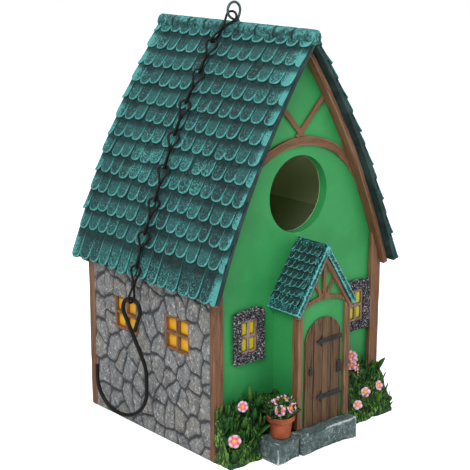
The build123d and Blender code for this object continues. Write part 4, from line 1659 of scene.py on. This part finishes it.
# --- windows --------------------------------------------------------------------------------------
@dataclass
class Windows:
    """Stone-rimmed front windows and framed side windows, all of four lights."""

    plaster_y: float = -47.5
    middle_z: float = 58.2
    front_x: tuple[float, float] = (-33.0, 40.6)
    ring: tuple[float, float] = (14.4, 20.9)
    arch: float = 0.8
    stone_y: float = -49.35
    sash: tuple[float, float] = (10.6, 16.8)
    side_y: tuple[float, float] = (-23.3, 18.0)
    side_z: float = 57.6
    side_size: tuple[float, float] = (19.0, 17.6)
    side_pane_x: float = 54.9
    bar: float = 1.5
    rim: float = 1.2

    def _pebble(self) -> Object:
        """One small rough stone."""
        work = bmesh.new()
        bmesh.ops.create_icosphere(work, subdivisions=2, radius=1.0 * MM)
        mesh = bpy.data.meshes.new("pebble")
        work.to_mesh(mesh)
        work.free()
        mesh.materials.append(Paint.PEBBLE.value.material())
        stone = scene_object("pebble", mesh)
        places = coordinates(stone)
        move_points(stone, places * (1.0 + 0.22 * lattice_noise(places * 1.7, 5))[:, None])
        write_attribute(stone, "wear", 0.35 + 0.5 * lattice_noise(places * 2.3, 9))
        smooth(stone)
        return stone

    def surround(self, side: int) -> None:
        """Build the stones round one front window.

        Args:
            side: 0 for the left window, 1 for the right.
        """
        label = ("left", "right")[side]
        stone = self._pebble()
        rings = []
        for number, (shrink, forward) in enumerate(((0.0, 0.0), (-1.7, 0.35), (1.5, 0.35))):
            wide, tall = self.ring[0] / 2 - shrink, self.ring[1] / 2 - shrink
            top = [(wide * share, tall + self.arch * (1.0 - share ** 2)) for share in (1, 0.5, 0, -0.5, -1)]
            loop = [(-wide, 0.0), (-wide, -tall), (0.0, -tall), (wide, -tall), (wide, 0.0)] + top
            path = [(self.front_x[side] + x, self.stone_y + forward, self.middle_z + z) for x, z in loop]
            edges = [(here, (here + 1) % len(path)) for here in range(len(path))]
            ring = mesh_piece("ring", path, [], edges=edges)
            grow(ring, bead_tree(), Finish=Paint.PEBBLE.value.material(), Stone=stone, Spacing=2.0 * MM,
                 Smallest=0.85, Largest=1.45, Seed=71 + 5 * side + number)
            rings.append(ring)
        bpy.data.objects.remove(stone)
        piece = joined(f"window_stones_{label}", rings)
        places = coordinates(piece)
        dx = np.abs(places[:, 0] - self.front_x[side]) - self.sash[0] / 2
        dz = np.abs(places[:, 2] - self.middle_z) - self.sash[1] / 2
        inside = (dx < 0.0) & (dz < 0.0)
        places[:, 0] = np.where(inside & (dx >= dz), self.front_x[side] + np.sign(
            places[:, 0] - self.front_x[side]) * self.sash[0] / 2, places[:, 0])
        places[:, 2] = np.where(inside & (dz > dx), self.middle_z + np.sign(
            places[:, 2] - self.middle_z) * self.sash[1] / 2, places[:, 2])
        places[:, 1] = np.minimum(places[:, 1], self.plaster_y + 0.1)
        move_points(piece, places)
        keep(piece)
        Casting([f"window_surround_{label}"], Paint.PEBBLE.value, "window_stone", voxel=0.3, rounding=2,
                wobble=0.2, wobble_size=3.0, relief=0.22, relief_size=1.1,
                seed=5 + side).place(f"window_bed_{label}")

    def _lights(self, size: tuple[float, float], bulge: float) -> tuple[Points, list, list]:
        """Four domed lights in a flat frame: across, up, proud.

        Args:
            size: outer size of the sash.
            bulge: how far the middle of a light stands proud.

        Returns:
            Points, faces and each point's distance from its muntin.
        """
        wide = (size[0] - 2 * self.rim - self.bar) / 2 + 0.5
        tall = (size[1] - 2 * self.rim - self.bar) / 2 + 0.5
        cells = 10
        points, faces, edge = [], [], []
        for sx in (-1, 1):
            for sz in (-1, 1):
                start = len(points)
                for row in range(cells + 1):
                    for column in range(cells + 1):
                        u, v = column / cells - 0.5, row / cells - 0.5
                        dome = (1 - 4 * u * u) * (1 - 4 * v * v)
                        points.append((sx * (self.bar + wide - 0.5) / 2 + u * wide,
                                       sz * (self.bar + tall - 0.5) / 2 + v * tall, bulge * dome))
                        edge.append(min((0.5 - abs(u)) * wide, (0.5 - abs(v)) * tall))
                for row in range(cells):
                    for column in range(cells):
                        base = start + row * (cells + 1) + column
                        faces.append((base, base + 1, base + cells + 2, base + cells + 1))
        return np.array(points), faces, edge

    def panes(self) -> None:
        """Build every pane."""
        points, faces, edge = self._lights(self.sash, 0.22)
        lots = [mesh_piece("pane", np.stack([middle + points[:, 0], self.plaster_y - 0.35 - points[:, 2],
                                             self.middle_z + points[:, 1]], axis=1), faces,
                           Paint.PANE_FRONT.value, {"edge": edge}) for middle in self.front_x]
        piece = joined("front_lights", lots)
        smooth(piece)
        keep(piece)
        dress(["front_window_panes"], Paint.PANE_FRONT.value)
        points, faces, edge = self._lights(self.side_size, 0.3)
        for side, label in ((-1, "left"), (1, "right")):
            lots = [mesh_piece("pane", np.stack([side * (self.side_pane_x + points[:, 2]),
                                                 middle - side * -points[:, 0],
                                                 self.side_z + points[:, 1]], axis=1), faces,
                               Paint.PANE_SIDE.value, {"edge": edge}) for middle in self.side_y]
            piece = joined(f"side_lights_{label}", lots)
            if side < 0:
                piece.data.flip_normals()
            smooth(piece)
            keep(piece)
            dress([f"side_window_panes_{label}"], Paint.PANE_SIDE.value)

    def build(self) -> None:
        """Build the windows."""
        for side in (0, 1):
            self.surround(side)
        self.panes()
        Casting(["front_window_sashes"], Paint.SASH.value, "sash_paint", voxel=0.18, rounding=2, wobble=0.12,
                wobble_size=3.0, grain=upright_grain, grain_depth=0.06).place("front_sashes_carved")
        for seed, label in enumerate(("left", "right")):
            Casting([f"side_window_frames_{label}"], Paint.CASEMENT.value, "timber", voxel=0.25, rounding=2,
                    wobble=0.18, wobble_size=5.0, grain=upright_grain, grain_depth=0.12,
                    seed=seed).place(f"side_frames_{label}_carved")


# --- steps ----------------------------------------------------------------------------------------
@dataclass
class Steps:
    """The long doorstep and the small stone under the pot."""

    def build(self) -> None:
        """Cast the stones with a lumpy, worn surface."""
        for seed, node in enumerate(("doorstep_long", "doorstep_small")):
            Casting([node], Paint.STEP.value, "step_stone", voxel=0.5, rounding=9, wobble=0.9,
                    wobble_size=8.0, relief=0.18, relief_size=1.5, seed=seed + 40).place(node + "_rough")


# --- planting -------------------------------------------------------------------------------------
@dataclass
class Blossom:
    """One moulded flower."""

    place: tuple[float, float, float]
    facing: tuple[float, float, float]
    size: float


@dataclass
class Crop:
    """How leaves are set: how many to a square millimetre, how upright and how large."""

    density: float
    upright: float
    smallest: float
    largest: float
    seed: int


@dataclass
class Planting:
    """The pot with its flowers, and the leafy beds on either side of the porch."""

    pot_top: float = 22.0
    bloom_scale: float = 0.86
    blossoms: tuple[Blossom, ...] = (
        Blossom((-41.8, -54.2, 26.3), (-0.45, -1.0, 0.35), 3.1),
        Blossom((-53.9, -62.2, 14.4), (-0.45, -1.0, 0.45), 3.6),
        Blossom((36.6, -60.8, 15.2), (-0.35, -1.0, 0.30), 3.1),
        Blossom((28.9, -62.8, 11.0), (-0.50, -1.0, 0.20), 2.9),
        Blossom((47.2, -60.0, 15.9), (0.00, -1.0, 0.35), 3.0),
        Blossom((35.0, -51.8, 33.0), (-0.3, -1.0, 0.45), 3.1),
        Blossom((37.6, -51.6, 30.4), (0.2, -1.0, 0.15), 3.1),
        Blossom((34.6, -52.4, 28.2), (-0.5, -1.0, 0.0), 3.0),
        Blossom((38.6, -51.8, 26.0), (0.3, -1.0, 0.1), 2.7),
        Blossom((40.2, -51.8, 22.6), (0.5, -1.0, 0.0), 2.1),
        Blossom((-31.6, -69.6, 26.2), (-0.7, -1.0, 0.5), 3.1),
        Blossom((-25.8, -71.0, 26.3), (-0.1, -1.0, 0.55), 3.1),
        Blossom((-29.6, -66.0, 29.2), (-0.4, -0.6, 1.0), 2.8),
        Blossom((-25.2, -66.2, 29.4), (0.1, -0.5, 1.0), 2.9),
        Blossom((-21.6, -67.4, 27.4), (0.7, -0.8, 0.6), 2.8),
        Blossom((-24.2, -61.6, 27.4), (0.3, 0.7, 0.9), 2.6),
        Blossom((-30.6, -62.2, 27.0), (-0.7, 0.5, 0.9), 2.6),
    )

    def _leaf(self, name: str, length: float, width: float, fold: float, curl: float,
              steps: int = 5) -> Object:
        """A closed, curled leaf standing on the origin.

        Args:
            name: its object's name.
            length: foot to tip.
            width: at its widest.
            fold: how far the edges lift beside the rib.
            curl: how far the tip leans over.
            steps: how many spans along it.

        Returns:
            The leaf.
        """
        points, tips, faces = [], [], []
        for step in range(steps + 1):
            share = step / steps
            half = width / 2 * math.sin(math.pi * (0.12 + 0.86 * share)) ** 0.8
            lean, rise = curl * share ** 2, length * share
            thick = 0.10 + 0.16 * (1 - share)
            ring = ((-half, lean - fold * half, rise), (0.0, lean + thick, rise),
                    (half, lean - fold * half, rise), (0.0, lean - thick, rise))
            points += ring
            tips += [share] * 4
        for step in range(steps):
            for corner in range(4):
                after = (corner + 1) % 4
                low = 4 * step
                faces.append((low + corner, low + after, low + 4 + after, low + 4 + corner))
        faces += [(0, 1, 2, 3), tuple(4 * steps + corner for corner in (3, 2, 1, 0))]
        leaf = mesh_piece(name, points, faces, Paint.LEAF.value, {"tip": tips})
        outwards(leaf)
        smooth(leaf)
        return leaf

    @staticmethod
    def _bare(face: bmesh.types.BMFace) -> bool:
        """Whether a face of a bed looks down, back or sideways, or lies at the ground."""
        return (face.normal.z < -0.3 or face.normal.y > 0.3 or abs(face.normal.x) > 0.8
                or face.calc_center_median().z < 1.5 * MM)

    def _bed(self, node: str, seed: int, broad_share: float) -> None:
        """Build one bed: its mound, its grass and its broad leaves.

        Args:
            node: the bed's CAD node.
            seed: picks the arrangement.
            broad_share: broad leaves to a square millimetre.
        """
        mound = Casting([node], Paint.SOIL.value, "foliage", voxel=0.55, rounding=4, wobble=1.1,
                        wobble_size=6.0, relief=0.30, relief_size=1.6, seed=seed)
        piece = mound.cast(node + "_mound")
        crops = (("grass", self._leaf("grass", 5.0, 1.0, 0.2, 0.8, 4), Crop(0.14, 2.4, 0.55, 1.10, seed)),
                 ("broad", self._leaf("broad_leaf", 10.0, 4.2, 0.35, 2.6, 6),
                  Crop(broad_share, 2.0, 0.60, 0.95, seed + 7)))
        lots = [self._sow(name, piece, self._bare, leaf, crop) for name, leaf, crop in crops]
        leaves = joined(node + "_leaves", lots)
        places = coordinates(leaves)
        places[:, 1] = np.minimum(places[:, 1], -47.6)
        places[:, 2] = np.maximum(places[:, 2], 0.1)
        places[:, 0] = np.clip(places[:, 0], -57.5, 57.5)
        move_points(leaves, places)
        keep(piece, HOUSE, [node])
        keep(leaves)

    def _sow(self, name: str, mound: Object, hidden: Callable[[bmesh.types.BMFace], bool],
             leaf: Object, crop: Crop) -> Object:
        """Set leaves on the part of a mound that shows.

        Args:
            name: the piece's name.
            mound: what they grow on.
            hidden: tells the faces that stay bare.
            leaf: the leaf, which is used up.
            crop: how it is set.

        Returns:
            The leaves.
        """
        work = bmesh.new()
        work.from_mesh(mound.data)
        bmesh.ops.delete(work, geom=[face for face in work.faces if hidden(face)], context="FACES")
        mesh = bpy.data.meshes.new(name)
        work.to_mesh(mesh)
        work.free()
        base = scene_object(name, mesh)
        grow(base, planting_tree(), Finish=Paint.LEAF.value.material(), Leaf=leaf,
             Density=crop.density / (MM * MM), Upright=crop.upright, Smallest=crop.smallest,
             Largest=crop.largest, Seed=crop.seed)
        bpy.data.objects.remove(leaf)
        return base

    def _flowers(self) -> None:
        """Build every blossom as one piece."""
        rng = random.Random(12)
        points, faces, reach, tones = [], [], [], []
        for bloom in self.blossoms:
            size = self.bloom_scale * bloom.size
            turn = Vector(bloom.facing).to_track_quat("Z", "Y").to_matrix()
            petals = rng.choice((5, 6, 5))
            tone = rng.random()
            spin = rng.uniform(0.0, 1.2)
            for petal in range(petals):
                angle = spin + 2 * math.pi * petal / petals
                lift = rng.uniform(0.10, 0.45)
                start = len(points)
                for step in range(5):
                    share = 0.12 + 0.88 * step / 4
                    half = 0.60 * math.sin(math.pi * (0.10 + 0.80 * share ** 1.25)) ** 0.7
                    for across, up in ((-half, 0.06), (0.0, 0.16), (half, 0.06), (0.0, -0.10)):
                        cos, sin = math.cos(angle), math.sin(angle)
                        local = Vector((cos * share - sin * across, sin * share + cos * across,
                                        up + lift * share ** 2))
                        points.append(Vector(bloom.place) + turn @ (local * size))
                        reach.append(share)
                        tones.append(tone)
                faces += skin(5, 4, start)
            start, around = len(points), 8
            for wide, up in ((0.30, 0.05), (0.24, 0.24), (0.12, 0.34)):
                for step in range(around):
                    angle = 2 * math.pi * step / around
                    local = Vector((wide * math.cos(angle), wide * math.sin(angle), up))
                    points.append(Vector(bloom.place) + turn @ (local * size))
                    reach.append(0.05)
                    tones.append(tone)
            faces += skin(3, around, start)
        piece = mesh_piece("blossoms", points, faces, Paint.PETAL.value, {"petal": reach, "tone": tones})
        outwards(piece)
        smooth(piece)
        keep(piece)

    def _pot_leaves(self) -> None:
        """Build the dark leaves over the pot."""
        mound = Casting(["pot_plant"], Paint.SOIL.value, "foliage", voxel=0.4, rounding=2, wobble=0.6,
                        wobble_size=3.0, relief=0.3, relief_size=1.3, seed=77).place("pot_mound")
        leaf = self._leaf("pot_leaf", 3.6, 2.3, 0.3, 1.0, 4)
        rim = self.pot_top + 1.0
        leaves = self._sow("pot_leaves", mound, lambda face: face.calc_center_median().z < rim * MM, leaf,
                           Crop(0.24, 0.1, 0.6, 1.1, 5))
        places = coordinates(leaves)
        write_attribute(leaves, "tip", np.clip((places[:, 2] - rim) / 14.0, 0.0, 1.0) * 0.6)
        keep(leaves)

    def build(self) -> None:
        """Build the pot, the beds and the flowers."""
        Casting(["flower_pot"], Paint.CLAY.value, "terracotta", voxel=0.3, rounding=2, wobble=0.12,
                wobble_size=5.0).place("pot_fired")
        self._pot_leaves()
        self._bed("garden_left", 101, 0.032)
        self._bed("garden_right", 131, 0.011)
        self._flowers()


# --- hanging wires --------------------------------------------------------------------------------
@dataclass
class Hanging:
    """The ridge loop, nine links of two crossed wire eyes, and the J hook."""

    line: RoofLine
    wire: float = 1.2
    pitch: float = 16.9
    gap: float = 0.4
    eye: float = 2.6
    rise: float = 2.9
    start: Vector = field(default_factory=lambda: Vector((-1.6, -2.1, 207.1)))
    second: Vector = field(default_factory=lambda: Vector((-10.1, 3.9, 193.9)))
    drifts: tuple[float, ...] = (-3.4, 0.0, -3.4, -5.4, -4.0, 0.7, -1.7)
    lean: float = 14.0
    rolls: tuple[float, ...] = (32.0, 45.0, 45.0, 45.0, 45.0, 45.0, 45.0, 45.0, 22.0)
    hook_wire: float = 2.0
    hook_turn: float = 12.0
    hook_eye: float = 5.5
    hook_bend: float = 16.4
    bend_middle: tuple[float, float] = (7.5, -45.7)
    shank_lean: float = 28.0
    shank_bend: float = 18.0
    loop_wire: float = 1.3
    loop_eye: float = 4.05
    loop_middle: Vector = field(default_factory=lambda: Vector((-1.7, -1.7, 208.0)))
    loop_foot: Vector = field(default_factory=lambda: Vector((0.6, -1.7, 202.4)))

    def joints(self) -> list[Vector]:
        """Where each link's upper bend sits, from the ridge loop down to the hook."""
        line = self.line
        places = [self.start, self.second]
        radius = line.radius + self.rise
        for drift in self.drifts:
            here = places[-1]
            angle = math.atan2(here.z - line.centre_z, -here.x - line.centre_x)
            angle -= 2 * math.asin(self.pitch * math.cos(math.radians(drift)) / (2 * radius))
            places.append(Vector((-(line.centre_x + radius * math.cos(angle)),
                                  here.y + self.pitch * math.sin(math.radians(drift)),
                                  line.centre_z + radius * math.sin(angle))))
        lean = math.radians(self.lean)
        last = self.pitch - (self.hook_wire - self.wire) / 2
        places.append(places[-1] + Vector((-math.sin(lean), -0.03, -math.cos(lean))) * last)
        return places

    def _eye_path(self, middle: Vector, out: Vector, side: Vector, radius: float, reach: float,
                  tip: float, steps: int = 22) -> list[Vector]:
        """Half of a wire eye: from one leg's end, round the bend, to the other leg's end.

        Args:
            middle: centre of the bend.
            out: direction from the bend towards the legs' ends.
            side: direction across the eye.
            radius: radius of the bend.
            reach: distance from the centre to the legs' ends.
            tip: half the distance between the legs' ends.
            steps: spans round the bend.

        Returns:
            Points along the wire.
        """
        angle = math.atan2(tip, reach) + math.acos(radius / math.hypot(reach, tip))
        path = [middle + out * reach + side * tip]
        for step in range(steps + 1):
            here = angle + (2 * math.pi - 2 * angle) * step / steps
            path.append(middle + out * (radius * math.cos(here)) + side * (radius * math.sin(here)))
        path.append(middle + out * reach - side * tip)
        return path

    def link(self, index: int, places: Sequence[Vector]) -> None:
        """Build one link as a single closed wire with a quarter twist in its waist.

        Args:
            index: which link, from 0 at the ridge.
            places: the joints' places.
        """
        along = (places[index + 1] - places[index]).normalized()
        away = Vector((0, 1, 0)).cross(along)
        away = (away if away.x < 0 else -away).normalized()
        across = along.cross(away)
        across = across if across.y > 0 else -across
        roll = math.radians(self.rolls[index])
        upper = away * math.sin(roll) + across * math.cos(roll)
        lower = away * math.cos(roll) - across * math.sin(roll)
        span = self.pitch + self.wire + self.gap
        reach = span / 2 - self.eye - 1.6
        tip = self.wire / 2 + 0.03
        top = self._eye_path(places[index] + along * self.eye, along, upper, self.eye, reach, tip)
        low = self._eye_path(places[index] + along * (span - self.eye), -along, lower, self.eye, reach, tip)
        waist = places[index] + along * (span / 2)
        path = list(top)
        path += self._twist(waist, along, upper, lower, tip, -1.0)
        path += list(reversed(low)) if (low[-1] - path[-1]).length < (low[0] - path[-1]).length else low
        path += self._twist(waist, along, upper, lower, tip, 1.0)
        name = f"chain_link_{index + 1}"
        piece = self._wire(name + "_wire", path, True, self.wire, Paint.BLACK_WIRE.value)
        keep(piece, name, [name])

    def _twist(self, waist: Vector, along: Vector, upper: Vector, lower: Vector, tip: float,
               side: float) -> list[Vector]:
        """One strand of the waist, between the two eyes.

        Args:
            waist: middle of the link.
            along: the link's long direction, downwards.
            upper: across the upper eye.
            lower: across the lower eye.
            tip: distance of the strand from the middle line.
            side: -1 for the strand going down, 1 for the one coming back up.

        Returns:
            The strand's points.
        """
        path = []
        for step in range(1, 6):
            share = step / 6 if side < 0 else 1 - step / 6
            quarter = share * math.pi / 2
            across = upper * math.cos(quarter) + lower * math.sin(quarter)
            path.append(waist + along * ((share - 0.5) * 2.6) + across * (tip * side))
        return path

    def _wire(self, name: str, path: Sequence[Vector], closed: bool, thickness: float,
              paint: Finish) -> Object:
        """Make round wire along a path.

        Args:
            name: the piece's name.
            path: points along it.
            closed: whether it meets itself.
            thickness: the wire's diameter.
            paint: the finish.

        Returns:
            The wire.
        """
        edges = [(here, here + 1) for here in range(len(path) - 1)]
        if closed:
            edges.append((len(path) - 1, 0))
        piece = mesh_piece(name, [tuple(point) for point in path], [], edges=edges)
        grow(piece, wire_tree(), Finish=paint.material(), Radius=thickness / 2 * MM, Sides=12)
        outwards(piece)
        smooth(piece)
        return piece

    def hook(self, top: Vector) -> None:
        """Build the hook: a teardrop eye, a leaning shank and a wide J.

        Args:
            top: middle of the wire at the top of its eye.
        """
        lean = math.radians(self.shank_lean)
        eye = (0.0, -self.hook_eye)
        end = (eye[0] + self.hook_eye * math.cos(lean), eye[1] - self.hook_eye * math.sin(lean))
        shank_x = self.bend_middle[0] - self.hook_bend
        corner_z = end[1] - (end[0] - shank_x) / math.tan(lean)
        tangent = self.shank_bend * math.tan(lean / 2)
        flat = [(-1.9, -16.2)]
        reach = math.hypot(flat[0][0] - eye[0], flat[0][1] - eye[1])
        bearing = math.atan2(flat[0][1] - eye[1], flat[0][0] - eye[0]) - math.acos(self.hook_eye / reach)
        bearing %= 2 * math.pi
        finish = -lean
        for step in range(33):
            here = bearing + (finish - bearing) * step / 32
            flat.append((eye[0] + self.hook_eye * math.cos(here), eye[1] + self.hook_eye * math.sin(here)))
        middle = (shank_x + self.shank_bend, corner_z - tangent)
        for step in range(9):
            here = math.pi - lean * (1 - step / 8)
            flat.append((middle[0] + self.shank_bend * math.cos(here),
                         middle[1] + self.shank_bend * math.sin(here)))
        for step in range(41):
            here = math.pi + math.pi * step / 40
            flat.append((self.bend_middle[0] + self.hook_bend * math.cos(here),
                         self.bend_middle[1] + self.hook_bend * math.sin(here)))
        flat.append((self.bend_middle[0] + self.hook_bend, self.bend_middle[1] + 6.5))
        turned = math.radians(self.hook_turn)
        out = Vector((-math.sin(turned), math.cos(turned), 0.0))
        path = [top + out * x + Vector((0, 0, z)) for x, z in flat]
        piece = self._wire("hook_wire", path, False, self.hook_wire, Paint.BLACK_WIRE.value)
        keep(piece, "hanging_hook", ["hanging_hook"])

    def loop(self) -> None:
        """Build the ridge loop with its twisted shank."""
        out = self.loop_foot - self.loop_middle
        reach = out.length
        out.normalize()
        side = Vector((0, 1, 0)).cross(out)
        tip = self.loop_wire / 2
        path = self._eye_path(self.loop_middle, out, side, self.loop_eye, reach - 0.8, tip)
        down = Vector((0.05, 0.0, -1.0)).normalized()
        ends = []
        for sign in (1, -1):
            strand = []
            for step in range(1, 9):
                angle = 3.6 * step / 8
                across = side * math.cos(angle) + Vector((0, 1, 0)) * math.sin(angle)
                strand.append(self.loop_foot + down * (4.0 * step / 8 - 0.6) + across * (tip * sign))
            ends.append(strand)
        path = list(reversed(ends[0])) + path + ends[1]
        piece = self._wire("ridge_loop_wire", path, False, self.loop_wire, Paint.LOOP_WIRE.value)
        keep(piece, HOUSE, ["hanging_loop"])

    def build(self) -> None:
        """Build the loop, the links and the hook."""
        places = self.joints()
        self.loop()
        for index in range(len(self.rolls)):
            self.link(index, places)
        self.hook(places[-1])


# --- studio ---------------------------------------------------------------------------------------
@dataclass(frozen=True)
class Softbox:
    """A square area light."""

    place: tuple[float, float, float]
    size: float
    power: float


@dataclass
class Studio:
    """Camera, pale floor and soft lights."""

    azimuth: float = -41.04
    elevation: float = 14.70
    roll: float = 0.067
    distance: float = 558.8
    target: tuple[float, float, float] = (-61.05, -70.86, 117.63)
    lens: float = 97.22
    floor: float = 4000.0
    boxes: tuple[Softbox, ...] = (Softbox((-700.0, -520.0, 760.0), 520.0, 8.2),
                                  Softbox((520.0, -820.0, 420.0), 620.0, 2.9),
                                  Softbox((0.0, 300.0, 900.0), 600.0, 2.2))
    ambient: float = 0.34

    def camera(self) -> None:
        """Set the camera."""
        data = bpy.data.cameras.new("camera")
        data.lens = self.lens
        data.sensor_width = 36.0
        camera = bpy.data.objects.new("camera", data)
        turn, tilt = math.radians(self.azimuth), math.radians(self.elevation)
        back = Vector((math.sin(turn) * math.cos(tilt), -math.cos(turn) * math.cos(tilt), math.sin(tilt)))
        camera.location = (Vector(self.target) + back * self.distance) * MM
        camera.rotation_euler = (back.to_track_quat("Z", "Y").to_matrix() @ Matrix.Rotation(
            math.radians(self.roll), 3, "Z")).to_euler()
        bpy.context.scene.collection.objects.link(camera)
        bpy.context.scene.camera = camera

    def lights(self) -> None:
        """Set the lights and the ambient white."""
        for number, box in enumerate(self.boxes):
            data = bpy.data.lights.new(f"softbox_{number}", "AREA")
            data.size = box.size * MM
            data.energy = box.power
            lamp = bpy.data.objects.new(data.name, data)
            lamp.location = Vector(box.place) * MM
            aim = Vector(box.place) - Vector((0.0, 0.0, 90.0))
            lamp.rotation_euler = aim.to_track_quat("Z", "Y").to_euler()
            bpy.context.scene.collection.objects.link(lamp)
        world = bpy.data.worlds.new("studio")
        world.use_nodes = True
        tree = world.node_tree
        sky = tree.nodes["Background"]
        sky.inputs["Color"].default_value = (1.0, 1.0, 1.0, 1.0)
        path = tree.nodes.new("ShaderNodeLightPath")
        level = tree.nodes.new("ShaderNodeMapRange")
        level.inputs["To Min"].default_value = self.ambient
        level.inputs["To Max"].default_value = 1.0
        tree.links.new(path.outputs["Is Camera Ray"], level.inputs["Value"])
        tree.links.new(level.outputs["Result"], sky.inputs["Strength"])
        bpy.context.scene.world = world
        bpy.context.scene.view_settings.view_transform = "Standard"

    def ground(self) -> None:
        """Lay the white floor."""
        half = self.floor / 2
        floor = mesh_piece("floor", [(-half, -half, 0), (half, -half, 0), (half, half, 0), (-half, half, 0)],
                           [(0, 1, 2, 3)])
        graph = ShaderGraph("floor_white")
        graph.shader.inputs["Emission Color"].default_value = (1.0, 1.0, 1.0, 1.0)
        seen = graph.tree.nodes.new("ShaderNodeLightPath").outputs["Is Camera Ray"]
        graph.tree.links.new(graph.times(seen, 0.80), graph.shader.inputs["Emission Strength"])
        floor.data.materials.append(graph.close((0.90, 0.90, 0.90), 0.8))

    def build(self) -> None:
        """Set the whole studio."""
        self.camera()
        self.lights()
        self.ground()


def main() -> None:
    """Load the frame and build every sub-assembly."""
    logging.basicConfig(level=logging.INFO, format="%(message)s")
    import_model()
    line = RoofLine()
    for part in (Studio(), Walls(), Roof(line), Timberwork(line), Porch(), Windows(), Steps(), Planting(),
                 Hanging(line)):
        part.build()
        LOG.info("built %s", type(part).__name__)


if __name__ == "__main__":
    main()
